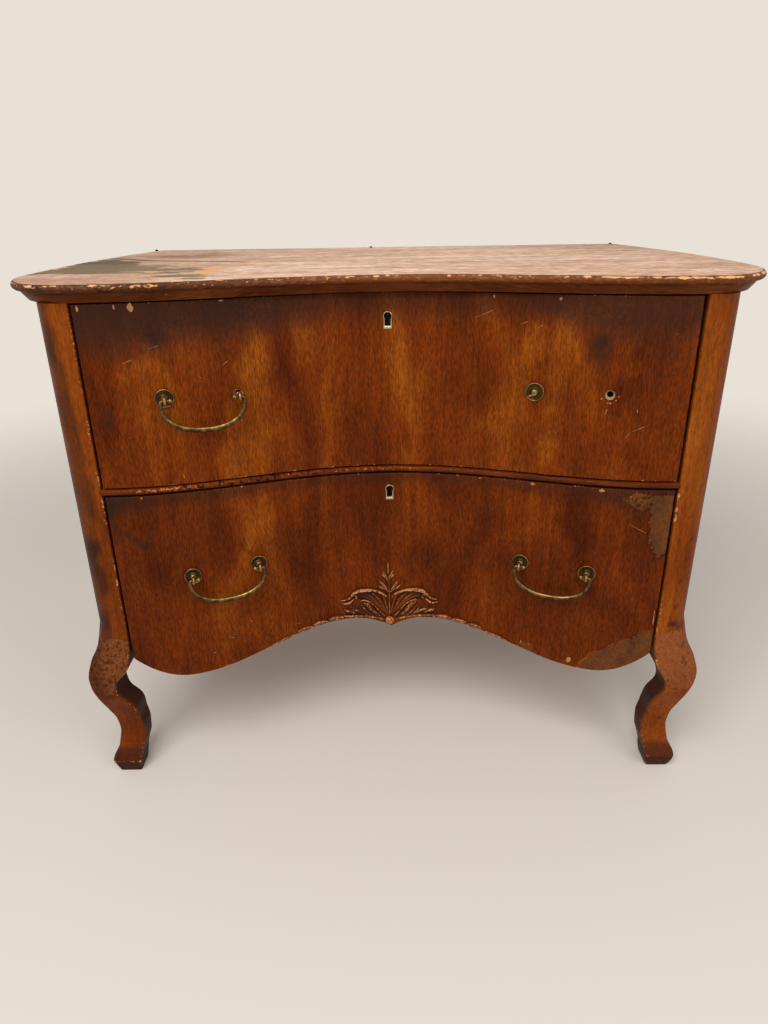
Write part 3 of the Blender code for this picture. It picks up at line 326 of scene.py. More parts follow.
def wood(name, look):
    # stretched noise: figure moves along the colours, streaks shade, pores fleck; marks come from the mesh
    material, tree, shader, place = startMaterial(name)
    noise = {}
    for key, (cells, detail, bend) in look["layers"].items():
        spot = addNode(tree, "Mapping", {"Vector": place, "Scale": cells})
        inputs = {"Vector": spot.outputs[0], "Scale": 1.0, "Detail": detail, "Distortion": bend}
        noise[key] = addNode(tree, "TexNoise", inputs).outputs[0]
    mark = {}
    for key in ("tone", "stain", "loss", "wear"):
        mark[key] = addNode(tree, "Attribute", attribute_name=key).outputs["Fac"]
    # the tone mark shifts the figure, and the middle of the sum is drawn out over the three colours
    moved = addNode(tree, "Math", {0: noise["figure"], 1: mark["tone"]}, operation="ADD")
    spread = addNode(tree, "MapRange", {0: moved.outputs[0], 1: 0.2, 2: 0.8})
    ramp = addNode(tree, "ValToRGB", {0: spread.outputs[0]})
    ramp.color_ramp.elements.new(0.5)
    for element, colour in zip(ramp.color_ramp.elements, look["colours"]):
        element.color = linear(colour)
    # streaks and dashes lighten and darken, pores lay their own colour over them
    low, high = look["streaks"]
    streak = addNode(tree, "MapRange", {0: noise["streak"], 1: 0.35, 2: 0.65, 3: low, 4: high})
    low, high = look["dashes"]
    dash = addNode(tree, "MapRange", {0: noise["dash"], 1: 0.38, 2: 0.62, 3: low, 4: high})
    shade = addNode(tree, "Math", {0: streak.outputs[0], 1: dash.outputs[0]}, operation="MULTIPLY")
    streaked = addNode(tree, "Mix", {0: 1.0, 6: ramp.outputs[0], 7: shade.outputs[0]}, **multiply)
    pore = addNode(tree, "MapRange", {0: noise["pore"], 1: 0.56, 2: 0.70, 3: 0.0, 4: look["pores"]})
    poreColour = linear(look["poreColour"])
    pored = addNode(tree, "Mix", {0: pore.outputs[0], 6: streaked.outputs[2], 7: poreColour}, **blend)
    # dirt with a ragged edge, deeper where the tone mark is low; the same stain mark also carries painted
    # shade on the drawers, rail and carving
    ragged = addNode(tree, "MapRange", {0: noise["mottle"], 1: 0.3, 2: 0.7, 3: -0.5, 4: 0.5})
    stainEdge = addNode(tree, "Math", {0: ragged.outputs[0], 1: 0.3, 2: 1.0}, operation="MULTIPLY_ADD")
    stainShare = addNode(tree, "Math", {0: mark["stain"], 1: stainEdge.outputs[0]}, operation="MULTIPLY")
    stainShare.use_clamp = True
    deep = addNode(tree, "MapRange", {0: mark["tone"], 1: -1.0, 2: 0.0, 3: 0.12, 4: 1.0})
    stain = addNode(tree, "Mix", {0: 1.0, 6: linear(look["stainColour"]), 7: deep.outputs[0]}, **multiply)
    stained = addNode(tree, "Mix", {0: stainShare.outputs[0], 6: pored.outputs[2], 7: stain.outputs[2]},
                      **blend)
    # lost finish: the mark is millimetres inside the patch, and speckled ground shows from about 3
    lossEdge = addNode(tree, "Math", {0: ragged.outputs[0], 1: 6.0, 2: mark["loss"]},
                       operation="MULTIPLY_ADD")
    lossShare = addNode(tree, "MapRange", {0: lossEdge.outputs[0], 1: 3.4, 2: 4.2})
    speckle = addNode(tree, "MapRange", {0: noise["mottle"], 1: 0.35, 2: 0.65, 3: 0.78, 4: 1.2})
    bareShade = addNode(tree, "Math", {0: speckle.outputs[0], 1: deep.outputs[0]}, operation="MULTIPLY")
    groundColour = linear(look["groundColour"])
    ground = addNode(tree, "Mix", {0: 1.0, 6: groundColour, 7: bareShade.outputs[0]}, **multiply)
    bared = addNode(tree, "Mix", {0: lossShare.outputs[0], 6: stained.outputs[2], 7: ground.outputs[2]},
                    **blend)
    # wear shows raw wood where its mark passes about half; on the rail and carving that mark carries painted
    # highlights too
    wearEdge = addNode(tree, "Math", {0: ragged.outputs[0], 1: 0.9, 2: mark["wear"]},
                       operation="MULTIPLY_ADD")
    wearShare = addNode(tree, "MapRange", {0: wearEdge.outputs[0], 1: 0.5, 2: 0.75})
    rawColour = linear(look["rawColour"])
    worn = addNode(tree, "Mix", {0: wearShare.outputs[0], 6: bared.outputs[2], 7: rawColour}, **blend)
    tree.links.new(worn.outputs[2], shader.inputs["Base Color"])
    # bare patches are dull; pores and patches lie lower than the finish
    smooth, rough = look["gloss"]
    gloss = addNode(tree, "MapRange", {0: noise["mottle"], 1: 0.3, 2: 0.7, 3: smooth, 4: rough})
    dull = addNode(tree, "Mix", {0: lossShare.outputs[0], 2: gloss.outputs[0], 3: 0.7})
    tree.links.new(dull.outputs[0], shader.inputs["Roughness"])
    height = addNode(tree, "Math", {0: pore.outputs[0], 1: -0.6, 2: streak.outputs[0]},
                     operation="MULTIPLY_ADD")
    inputs = {0: lossShare.outputs[0], 1: -2.0, 2: height.outputs[0]}
    sunk = addNode(tree, "Math", inputs, operation="MULTIPLY_ADD")
    bump = addNode(tree, "Bump", {"Height": sunk.outputs[0], "Strength": 0.5, "Distance": look["relief"]})
    tree.links.new(bump.outputs[0], shader.inputs["Normal"])
    shader.inputs["IOR"].default_value = 1.5
    shader.inputs["Specular IOR Level"].default_value = look["shine"]
    return material


def grainAlong(axis, figure, streak, dash, pore, mottle):
    # cells to the metre across and along the grain of each layer, its detail and its bend
    layers = {"figure": (figure, 3, 0.6), "streak": (streak, 3, 0.3), "dash": (dash, 2, 0.1),
              "pore": (pore, 2, 0.0), "mottle": (mottle, 4, 0.4)}
    return {key: (tuple(cells[1 if i == axis else 0] for i in range(3)), detail, bend)
            for key, (cells, detail, bend) in layers.items()}


veneerLook = {
    "layers": grainAlong(2, (15, 4.5), (180, 9), (760, 125), (900, 60), (300, 220)),
    "colours": ("#461702", "#662903", "#864409"), "streaks": (0.86, 1.14), "dashes": (0.66, 1.3),
    "pores": 0.25, "poreColour": "#2e0d02", "stainColour": "#2f1b12", "groundColour": "#5e361a",
    "rawColour": "#b0713f", "gloss": (0.34, 0.5), "shine": 0.06, "relief": 0.0002,
}
# figured mahogany veneer under old dry shellac: red-brown, short upright pores, soft orange flame
veneer = wood("figuredMahoganyVeneer", veneerLook)

solidLook = dict(veneerLook)
solidLook.update({
    "layers": grainAlong(2, (20, 4), (170, 8), (700, 120), (850, 40), (320, 240)),
    "colours": ("#582404", "#743407", "#88450f"), "dashes": (0.78, 1.18),
    "stainColour": "#351b11", "groundColour": "#7b4423", "rawColour": "#bd7f48",
})
# solid mahogany, thin worn varnish: browner and plainer than the veneer
solidWood = wood("varnishedSolidMahogany", solidLook)

edgeLook = dict(solidLook)
edgeLook.update({
    "layers": grainAlong(0, (30, 3), (160, 6), (400, 30), (800, 30), (380, 260)),
    "colours": ("#461d07", "#5c2b0d", "#703b15"), "rawColour": "#a87242",
})
# dark varnished moulding, its grain running along it
darkWood = wood("darkVarnishedMahogany", edgeLook)

railLook = dict(edgeLook)
railLook.update({"colours": ("#3f1703", "#5f2705", "#7c3d09"), "stainColour": "#240d05",
                 "rawColour": "#ab6529"})
# rail: bright raw wood on its nose, rubbed and painted as highlight; dark finish and painted shade below the
# nose
railWood = wood("rubbedMahoganyRailPaintedSheen", railLook)

topLook = dict(edgeLook)
topLook.update({
    "layers": grainAlong(0, (24, 4), (90, 9), (200, 62), (340, 90), (300, 120)),
    "colours": ("#c69577", "#dfb699", "#eccdb6"), "streaks": (0.84, 1.08), "dashes": (0.66, 1.17),
    "pores": 0.5, "poreColour": "#8a5a41", "stainColour": "#6b340c", "groundColour": "#7f6a50",
    "rawColour": "#d79d66", "gloss": (0.5, 0.65), "shine": 0.15,
})
# top whose finish has bleached away: dry pinkish tan wood
topWood = wood("bleachedMahoganyTop", topLook)

carveLook = dict(solidLook)
carveLook.update({
    "colours": ("#471b05", "#612a08", "#7a3c0e"), "stainColour": "#180902", "rawColour": "#aa764c",
    "gloss": (0.4, 0.55), "shine": 0.15,
})
# carved mahogany: dark varnish and painted shade in the hollows and under the ridges, pinkish tops that are
# rubbed and painted as highlights
carvedWood = wood("carvedMahogany", carveLook)

pineLook = dict(solidLook)
pineLook.update({
    "layers": grainAlong(2, (3, 26), (5, 210), (20, 300), (24, 500), (60, 60)),
    "colours": ("#8a5f36", "#a67a4a", "#b98d5c"), "poreColour": "#6e4524", "stainColour": "#5a3a20",
    "gloss": (0.6, 0.75), "shine": 0.2,
})
# unfinished softwood of the drawer boxes and back, darkened with age
pine = wood("agedUnfinishedSoftwood", pineLook)


def metal(name, look):
    # cast metal: bright tone rubbed on high spots, on the bails' bellies also painted as highlight, tarnish
    # elsewhere, uneven gloss
    material, tree, shader, place = startMaterial(name)
    cloud = addNode(tree, "TexNoise", {"Vector": place, "Scale": look["cells"], "Detail": 4.0})
    share = addNode(tree, "MapRange", {0: cloud.outputs[0], 1: 0.38, 2: 0.62, 4: 0.55})
    wear = addNode(tree, "Attribute", attribute_name="wear")
    bright = addNode(tree, "Math", {0: share.outputs[0], 1: wear.outputs["Fac"]}, operation="ADD")
    bright.use_clamp = True
    dark, light = linear(look["dark"]), linear(look["light"])
    colour = addNode(tree, "Mix", {0: bright.outputs[0], 6: dark, 7: light}, **blend)
    tree.links.new(colour.outputs[2], shader.inputs["Base Color"])
    smooth, rough = look["gloss"]
    gloss = addNode(tree, "MapRange", {0: cloud.outputs[0], 1: 0.35, 2: 0.65, 3: rough, 4: smooth})
    tree.links.new(gloss.outputs[0], shader.inputs["Roughness"])
    bump = addNode(tree, "Bump", {"Height": cloud.outputs[0], "Strength": 0.2, "Distance": 0.0001})
    tree.links.new(bump.outputs[0], shader.inputs["Normal"])
    shader.inputs["Metallic"].default_value = 1.0
    return material


# tarnished cast brass: dark olive brown with a dull yellow gleam
brassLook = {"dark": "#3f3019", "light": "#937547", "cells": 140.0, "gloss": (0.34, 0.5)}
brass = metal("tarnishedCastBrass", brassLook)
# brass of the keyhole rings, rubbed pale by keys
ringLook = {"dark": "#6f604a", "light": "#b7a78c", "cells": 140.0, "gloss": (0.3, 0.45)}
ringBrass = metal("rubbedPaleBrass", ringLook)
# oxidised steel of the lock cases and nails
steelLook = {"dark": "#2c2825", "light": "#4a443e", "cells": 180.0, "gloss": (0.45, 0.65)}
steel = metal("oxidisedSteel", steelLook)


def rawChip(name, colour):
    # bare broken wood under a lost flake of finish: dull, streaked by its fibres
    material, tree, shader, place = startMaterial(name)
    spot = addNode(tree, "Mapping", {"Vector": place, "Scale": (600, 600, 60)})
    fibre = addNode(tree, "TexNoise", {"Vector": spot.outputs[0], "Scale": 1.0, "Detail": 3.0})
    shade = addNode(tree, "MapRange", {0: fibre.outputs[0], 1: 0.3, 2: 0.7, 3: 0.75, 4: 1.15})
    mixed = addNode(tree, "Mix", {0: 1.0, 6: linear(colour), 7: shade.outputs[0]}, **multiply)
    tree.links.new(mixed.outputs[2], shader.inputs["Base Color"])
    shader.inputs["Roughness"].default_value = 0.75
    return material


# colour darkened a little as painted shade, as most chips lie in the shade under the top
chipWood = rawChip("bareChippedWoodInPaintedShade", "#a06a37")
boredWood = rawChip("freshBoredWood", "#a68860")
print("materials made")

# Every node first gets the looks of its slot

nodeLooks = {
    "bleached_mahogany": topWood, "flame_mahogany": veneer, "dark_mahogany": darkWood,
    "solid_mahogany": solidWood, "carved_mahogany": carvedWood, "plain_softwood": pine,
    "aged_brass": brass, "dark_steel": steel,
}
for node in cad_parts.values():
    for i, old in enumerate(node.data.materials):
        node.data.materials[i] = nodeLooks[old.name.split(".")[0]]

# Top board: half-round nose along sides and front, flat faces, square back

topSizes = {"low": 0.7320, "high": 0.7420, "swell": 0.065, "front": 0.0165, "cornerX": 0.385,
            "cornerY": 0.105, "acrossCorner": 0.095, "backCorner": 0.1215, "half": 0.480, "taper": 0.065,
            "back": 0.515, "frontSteps": 220, "cornerSteps": 61, "sideSteps": 121, "noseSteps": 15}
topMarks = {
    "dentCell": 0.012, "dentFrom": 0.45, "dentDeep": 0.0012,
    # along the nose: place across in millimetres, amount in hundredths
    "rubbed": ((-480, 60), (-420, 90), (-360, 65), (-300, 60), (-200, 45), (-120, 70), (0, 80), (100, 75),
               (180, 60), (260, 95), (330, 125), (420, 140), (480, 130)),
    "dried": ((-480, 26), (-400, 31), (-300, 36), (-150, 36), (0, 30), (100, 0), (480, 0)),
    "dirtyEnds": ((-480, -82), (-360, -82), (-300, -75), (-200, -60), (-100, -20), (0, 0), (150, 0),
                  (250, -25), (340, -28), (480, -28)),
    # outline of the peeled field in millimetres
    "peeled": ((-475, 118), (-472, 136), (-462, 310), (-445, 340), (-393, 310), (-359, 237), (-287, 207),
               (-265, 187), (-224, 70), (-235, 42), (-280, 45), (-309, 85), (-327, 105), (-407, 113)),
    # soft spots: middle and half-sizes in millimetres, amount in hundredths
    "smudges": ((-320, 380, 120, 40, 40), (-160, 320, 90, 20, 35)),
    "bare": ((-322, 122, 20, 16, 100), (-240, 120, 18, 40, 100), (-228, 160, 18, 20, 95)),
    # open seams: both ends and half width in millimetres, amount, whether a strip of veneer is gone
    "seams": ((-436, 345, -376, 303, 8, 1, True), (-378, 303, -214, 253, 7, 1, True),
              (-214, 253, 50, 245, 4.5, 0.5, False), (296, 365.7, 402, 355.8, 5, 0.9, False),
              (330, 290, 405, 280, 4, 0.7, False)),
}


def topEdge(frontSteps, cornerSteps, sideSteps):
    # right half of the edge from the front's middle on: cosine hollow, quarter ellipse, side that draws in
    s = topSizes
    x = np.linspace(0, s["cornerX"], frontSteps)
    wave = (1 + np.cos(np.pi * np.minimum(x, drawerHalf) / drawerHalf)) / 2
    front = np.stack([x, s["swell"] * wave - s["front"]], -1)
    angle = np.linspace(0, np.pi / 2, cornerSteps)[1:]
    corner = np.stack([s["cornerX"] + s["acrossCorner"] * np.sin(angle),
                       s["cornerY"] - s["backCorner"] * np.cos(angle)], -1)
    share = np.linspace(0, 1, sideSteps)[1:]
    side = np.stack([s["half"] - s["taper"] * share ** 2,
                     s["cornerY"] + (s["back"] - s["cornerY"]) * share], -1)
    right = np.vstack([front, corner, side])
    return np.vstack([right[::-1], right[1:] * (-1, 1)])


def outward(path):
    # normals of the edge; its two ends face straight to the sides
    along = np.gradient(path, axis=0)
    along /= np.linalg.norm(along, axis=1, keepdims=True)
    out = np.stack([-along[:, 1], along[:, 0]], -1)
    out[0], out[-1] = (1, 0), (-1, 0)
    return out


def topNose(inner, out, radius):
    # half circle carried along the edge, with dents that are deepest at its middle
    m = topMarks
    turn = np.linspace(np.pi / 2, -np.pi / 2, topSizes["noseSteps"])
    spot = inner[:, None] + out[:, None] * radius * np.cos(turn)[None, :, None]
    nose = pointGrid(spot[..., 0], spot[..., 1], topSizes["low"] + radius + radius * np.sin(turn))
    x, y, z = np.moveaxis(nose, -1, 0)  # these follow the dents
    dent = 0.5 + 0.5 * valueNoise(x, y, z, m["dentCell"], 3)
    dent = np.clip(dent - m["dentFrom"], 0, 1) * np.cos(turn) * m["dentDeep"]
    nose[..., :2] -= out[:, None] * dent[..., None]
    frontness = smoothStep(-y, -0.16, -0.02)
    # rubbed line along the upper edge, broken into chips towards the ends, and dry finish below it
    rub = lineAcross(m["rubbed"], x) * np.exp(-((turn - 0.72) / 0.42) ** 2)
    rub = rub * (0.62 + 0.8 * valueNoise(x, y, z, 0.007, 8)) * frontness
    dry = lineAcross(m["dried"], x) * smoothStep(turn, -0.7, 0.3) * frontness
    # the finish is dirty towards the ends
    tone = lineAcross(m["dirtyEnds"], x) * (0.85 + 0.3 * valueNoise(x, y, z, 0.012, 18)) * frontness
    fields = {"wear": np.maximum(rub, dry), "stain": smoothStep(turn, 1.57, 1.25), "tone": tone}
    return gridShell(nose, capU=True, fields=fields)


def topFinish(x, y):
    # field where the finish has peeled to grey wood, with islands left along the grain in its right half
    m = topMarks
    bendX, bendY = 0.010 * valueNoise(x, y * 4, 0, 0.045, 14), 0.016 * valueNoise(x, y, 0, 0.04, 15)
    peel = insideDistance(x + bendX, y + bendY, m["peeled"])
    peel = np.minimum(peel, 5 + 10 * smoothStep(-x, 0.34, 0.38)) + 2 + 9 * valueNoise(x, y * 5, 0, 0.05, 16)
    # dirt at the ends, in streaks and in the far right corner
    dirt = 0.16 * smoothStep(x, 0.36, 0.46) + 0.30 * smoothStep(-x, 0.18, 0.40)
    dirt = dirt + 0.10 * np.clip(valueNoise(x, y * 6, 0, 0.06, 17), 0, 1)
    dirt = dirt + 0.16 * smoothStep(y, 0.32, 0.42) * smoothStep(x, 0.15, 0.32)
    dirt = dirt + blobs(x, y, m["smudges"], 0.02)
    for x0, y0, x1, y1, half, amount, stripGone in m["seams"]:
        share = np.clip((1000 * x - x0) / (x1 - x0), 0, 1)
        off = np.hypot(1000 * x - x0 - share * (x1 - x0), 1000 * y - y0 - share * (y1 - y0))
        dirt = dirt + 0.75 * amount * np.exp(-(off / half) ** 2)
        if stripGone:
            peel = np.maximum(peel, half - off + 2)
    peel = np.maximum(0, peel)
    dark = -0.30 * smoothStep(-x, 0.34, 0.40) - 0.25 * (peel > 2) * smoothStep(y, 0.24, 0.27)
    tint = dark * (peel > 1) + 0.14 * valueNoise(x, y * 4, 0, 0.11, 19)
    # the last row belongs to the back edge too and takes its finish
    dirt[:, -1], peel[:, -1], tint[:, -1] = 1.0, 0.0, 0.0
    return {"loss": peel, "wear": blobs(x, y, m["bare"], 0.01), "stain": dirt, "tone": tint}


def topBoard():
    # upper face, underside, back strip and nose
    s = topSizes
    path = topEdge(s["frontSteps"], s["cornerSteps"], s["sideSteps"])
    out = outward(path)
    radius = (s["high"] - s["low"]) / 2
    inner = path - out * radius
    # upper face, a patch between its four edges: the two blends added, less the blend of the corners
    cut = s["sideSteps"] - 1 + s["cornerSteps"] // 2
    edge = pointGrid(inner[:, 0], inner[:, 1], s["high"])
    right, front, left = edge[:cut + 1][::-1], edge[cut:len(edge) - cut], edge[len(edge) - cut - 1:]
    back = right[-1] + (left[-1] - right[-1]) * np.linspace(0, 1, len(front))[:, None]
    u = np.linspace(0, 1, len(front))[:, None, None]
    v = np.linspace(0, 1, len(left))[None, :, None]
    face = ((1 - v) * front[:, None] + v * back[:, None] + (1 - u) * right[None] + u * left[None]
            - (1 - u) * (1 - v) * right[0] - (1 - u) * v * right[-1]
            - u * (1 - v) * left[0] - u * v * left[-1])
    under = face.copy()
    under[..., 2] = s["low"]
    strip = np.stack([back, back - (0, 0, 2 * radius)], 1)
    dark = {"stain": 1.0}
    return [gridShell(face, fields=topFinish(face[..., 0], face[..., 1])), flatShell(under, dark),
            gridShell(strip, fields=dark), topNose(inner, out, radius)]


makePiece("topBoard", topBoard(), topWood, "case", "top_board", sharp=50)
print("top made")

# Moulding under the top: a thumb profile along the front and corners, and along each side

mouldLook = {"low": 0.7195, "high": 0.7317, "deep": 0.060, "bearing": 0.020, "steps": 13,
             # share of the height, inset from the top's edge in millimetres
             "lines": ((0, 16.5), (0.3, 13.8), (0.6, 10.8), (0.85, 9.3), (1, 9)),
             # the case's side: half width at its front, how far it draws in, where it starts, its run
             "caseHalf": 0.435, "caseDraw": 0.038, "caseStart": 0.070, "caseRun": 0.430,
             "sideStart": 0.1053, "sideEnd": 0.500}


def mouldSection():
    # inset and height up the profile; two more heights close the section behind it
    m = mouldLook
    share = np.linspace(0, 1, m["steps"])
    height = m["low"] + (m["high"] - m["low"]) * share
    return smoothLine(m["lines"], share)[:, 0] / 1000, np.append(height, [m["high"], m["low"]])


def frontMoulding():
    # profile carried along the top's front and corners, set in from its edge
    path = topEdge(180, 61, 2)[1:-1]
    out = outward(path)
    inset, height = mouldSection()
    inset = np.append(inset, [mouldLook["deep"]] * 2)
    spot = path[:, None] - out[:, None] * inset[None, :, None]
    x, y = spot[..., 0], spot[..., 1]
    wear = 0.22 * valueNoise(x, y, height, 0.008, 5) * (inset < 0.012)
    return [gridShell(pointGrid(x, y, height), closeV=True, capU=True, fields={"wear": wear})]


def sideMoulding(hand):
    # profile set in from the top's side, a parabola, with its back along the case's straight side
    m, s = mouldLook, topSizes
    y = np.linspace(m["sideStart"], m["sideEnd"], 60)[:, None]
    edge = s["half"] - s["taper"] * ((y - s["cornerY"]) / (s["back"] - s["cornerY"])) ** 2
    inner = m["caseHalf"] - m["caseDraw"] * (y - m["caseStart"]) / m["caseRun"] - m["bearing"]
    inset, height = mouldSection()
    x = np.hstack([edge - inset, inner, inner])
    return [gridShell(pointGrid(hand * x, y, height), closeV=True, capU=True)]


makePiece("frontMoulding", frontMoulding(), darkWood, "case", "top_moulding_front",
          [[boltMortise(mouldLook["low"])]])
for word, hand in hands.items():
    makePiece("sideMoulding." + word, sideMoulding(hand), darkWood, "case",
              "top_moulding_" + word)
print("mouldings made")

# Front posts, each one piece with its sawn cabriole leg

postLook = {
    "top": 0.7192, "leg": 0.211, "inner": 0.3835, "outer": 0.435, "plain": 1.24, "arcSteps": 13,
    "flatSteps": 12,
    # share of the leg's height, then millimetres: outer reach, inner reach, back line, front line
    "lines": ((1.24, 0, 0, 70, 0), (1.08, 1.5, 0, 70, -3.8), (0.97, 10, 3, 60, -11.3),
              (0.855, 15, 16.5, 42, -14.6), (0.78, 13, 21.5, 34.5, -13.9), (0.70, 8.5, 20.5, 34.5, -10.5),
              (0.56, -0.5, 11.5, 42, 0.4), (0.44, -6.5, 10, 49.5, 9.4), (0.34, -8.8, 6, 50, 11.3),
              (0.237, -6, 5.5, 45, 6.4), (0.195, -4.6, 8, 43, 2), (0.15, 1.8, 10.5, 41, -3),
              (0.105, 4.2, 12.5, 38.5, -6), (0.06, 3.6, 12.5, 38.5, -6), (0, 2.8, 12.5, 38.5, -6)),
    # share of the height, then millimetres: the outer front round across and back, arris of the other corners
    "rounds": ((1.24, 34, 50, 1.5), (1.14, 27, 36, 1.5), (1.05, 19, 22, 1.8), (0.97, 14, 15, 2),
               (0.855, 11, 11, 2), (0.70, 6, 6, 2.5), (0.5, 3, 3, 2.5), (0, 3, 3, 2.5)),
    # height of the foot's chamfer and how far each side draws in
    "chamferTop": 0.021, "chamfer": {"outer": 0.0055, "front": 0.005, "inner": 0.003, "back": 0.003},
    # left post's border between its bright inner part and its darker outer part, stained and painted as
    # shade: height and place across in millimetres
    "border": ((740, 409), (680, 407), (620, 400), (550, 394), (480, 394), (420, 397), (340, 401),
               (240, 406)),
    # right post's dark dots, and the chips of its arris: height and reach in metres
    "dots": ((406.5, 289, 3.4, 3, 120), (406, 260, 7, 4.5, 120), (418, 254, 9, 4.5, 80), (428, 200, 5, 7, 60),
             (405, 330, 2.8, 2.2, 100), (412, 365, 2.8, 2.2, 100), (405, 430, 2.6, 2, 100),
             (414, 395, 2.6, 2, 80), (420, 475, 2.8, 2.4, 80), (414, 83, 3, 2.6, 120)),
    "arrisChips": ((0.459, 0.006), (0.440, 0.004), (0.425, 0.007)),
}
# each hand-sawn leg: its chamfer's curve, rubbed foot, bare knee, and millimetres that its inner line departs
legHands = {
    -1: {"seed": 11, "chamferCurve": 1, "footRub": 0.5, "bareMost": 1.9,
         "inside": ((1.24, 0), (1, 0), (0.93, -0.8), (0.90, -0.5), (0.867, 2.5), (0.822, 6), (0.79, 4.7),
                    (0.717, 3.3), (0.658, 1), (0.598, -2), (0.538, -3), (0.44, -1), (0.3, 0), (0, 0))},
    1: {"seed": 27, "chamferCurve": 1.8, "footRub": 0.2, "bareMost": 2.4,
        "inside": ((1.24, 0), (1, -1), (0.92, -3.4), (0.867, -4), (0.80, -2), (0.717, 2), (0.66, 1), (0.6, 0),
                   (0, 0))},
}


def withFlats(line, steps, between):
    # points along the straight sides, from each corner's last point to the next corner's first
    arcs = line.reshape(len(line), 4, steps)
    flats = arcs[:, :, -1:] * (1 - between) + np.roll(arcs, -1, 1)[:, :, :1] * between
    return np.concatenate([arcs[:, :, :-1], flats], 2).reshape(len(line), -1)


def frontPost(hand):
    # rounded rectangle at each height: its sides from smooth lines, its corners from quarter ellipses
    p, leg = postLook, legHands[hand]
    z = np.concatenate([np.linspace(0, p["chamferTop"], 16), np.linspace(0.022, 0.262, 150),
                        np.linspace(0.2640, p["top"], 120)])[:, None]
    share = np.minimum(z[:, 0] / p["leg"], p["plain"])
    reach, innerReach, back, front = smoothLine(p["lines"], share).T[..., None] / 1000
    innerReach = innerReach + smoothLine(leg["inside"], share) / 1000
    cut, draw = np.clip(1 - z / p["chamferTop"], 0, 1) ** leg["chamferCurve"], p["chamfer"]
    outer, inner = p["outer"] + reach - draw["outer"] * cut, p["inner"] + innerReach + draw["inner"] * cut
    front, back = front + draw["front"] * cut, back - draw["back"] * cut
    roundX, roundY, arris = smoothLine(p["rounds"], share).T[..., None] / 1000
    roundX, roundY = np.minimum(roundX, 0.72 * (outer - inner)), np.minimum(roundY, 0.72 * (back - front))
    arc = np.linspace(0, np.pi / 2, p["arcSteps"])
    corners = ((outer - roundX, front + roundY, roundX, roundY, -np.pi / 2),
               (outer - arris, back - arris, arris, arris, 0),
               (inner + arris, back - arris, arris, arris, np.pi / 2),
               (inner + arris, front + arris, arris, arris, np.pi))
    x = np.hstack([middle + size * np.cos(start + arc) for middle, _, size, _, start in corners])
    y = np.hstack([middle + size * np.sin(start + arc) for _, middle, _, size, start in corners])
    between = np.linspace(0, 1, p["flatSteps"], endpoint=False)
    x, y = withFlats(x, p["arcSteps"], between), withFlats(y, p["arcSteps"], between)
    tall = np.broadcast_to(z, x.shape)

    def noise(cell, step):
        # always at the present x and y, which the pits move
        return valueNoise(hand * x, y, tall, cell, leg["seed"] + step)

    # pits, waves and nicks draw the surface in towards the middle
    pit = np.clip(noise(0.005, 0) - 0.62, 0, 1) * 0.0016
    wave = noise(0.05, 4) * 0.0003
    nick = np.clip(noise(0.006, 9) - 0.2, 0, 1) * 0.0014
    edge = np.exp(-((x - inner) / 0.003) ** 2 - ((y - front) / 0.003) ** 2)
    middleX, middleY = (outer + inner) / 2, (back + front) / 2
    away = np.hypot(x - middleX, y - middleY)
    knee = smoothStep(tall, 0.252, 0.235) * smoothStep(tall, 0.135, 0.165)
    lower = smoothStep(tall, 0.25, 0.20)
    draw = pit * (0.25 + 0.75 * knee) + wave * (0.3 + 0.7 * lower)
    draw = draw * smoothStep(tall, 0.0, 0.006) + edge * nick
    x, y = x - draw * (x - middleX) / away, y - draw * (y - middleY) / away
    frontness = smoothStep(front + 0.012 - y, 0.0, 0.012)
    # a right foot and post scuffed dull, a left one with bright arrises
    wear = edge * (0.42 + 0.35 * noise(0.014, 2))
    wear = wear * (0.9 if hand < 0 else 0.4 + 0.45 * smoothStep(tall, 0.33, 0.28))
    wear = wear + leg["footRub"] * np.exp(-((tall - 0.0215) / 0.0015) ** 2) * frontness
    # dark inner face and foot, bare knee, pits full of dirt
    innerFace = smoothStep(x, inner + 0.004, inner) * smoothStep(y - front, 0.003, 0.010)
    foot = np.maximum(0.75 * smoothStep(tall, 0.046, 0.038), smoothStep(tall, 0.0225, 0.020))
    stain = 0.95 * innerFace + 0.9 * foot
    bare = 1000 * np.minimum(0.247 - tall, tall - 0.158) + 8 * noise(0.012, 3)
    bare = np.maximum(0, np.minimum(bare, leg["bareMost"]) + 3) * (innerFace < 0.3)
    pits = 0.7 * np.clip(2.6 * noise(0.005, 8) - 0.9, 0, 1)
    pits = pits * knee * smoothStep(x + 0.3 * (0.22 - tall), 0.402, 0.420)
    if hand < 0:
        # the left post's outer part beyond the border is darker: stain and painted shade
        patchy = 0.8 + 0.4 * valueNoise(x, y, tall, 0.03, leg["seed"] + 5)
        border = smoothLine(p["border"], 1000 * tall)[..., 0] / 1000
        border = border + 0.005 * valueNoise(0, 0, tall, 0.022, leg["seed"] + 7)
        outside = smoothStep(x, border - 0.004, border + 0.006)
        stain = stain + 0.85 * patchy * outside * smoothStep(tall, 0.22, 0.27)
        stain = stain + 0.4 * knee * (0.8 + 0.4 * valueNoise(x, y, tall, 0.012, leg["seed"] + 6))
        tone = 0.03 - 0.12 * smoothStep(tall, 0.50, 0.42) - 0.10 * smoothStep(tall, 0.16, 0.13) - 0.8 * pits
        tone = tone - knee * (0.22 + 0.35 * smoothStep(x, 0.415, 0.434))
    else:
        dots = blobs(x, tall, p["dots"])
        chipped = sum(np.exp(-((tall - level) / size) ** 2) for level, size in p["arrisChips"])
        wear = wear + 0.9 * edge * chipped
        stain = stain + 0.9 * dots
        tone = 0.05 + 0.12 * knee - 0.9 * pits - 0.8 * dots * knee
    fields = {"wear": wear, "stain": stain, "tone": tone, "loss": bare}
    return [gridShell(pointGrid(hand * x, y, tall), closeV=True, capU=True, fields=fields)]


for word, hand in hands.items():
    makePiece("frontPost." + word, frontPost(hand), solidWood, "case",
              "front_post_" + word, sharp=35)
print("posts made")
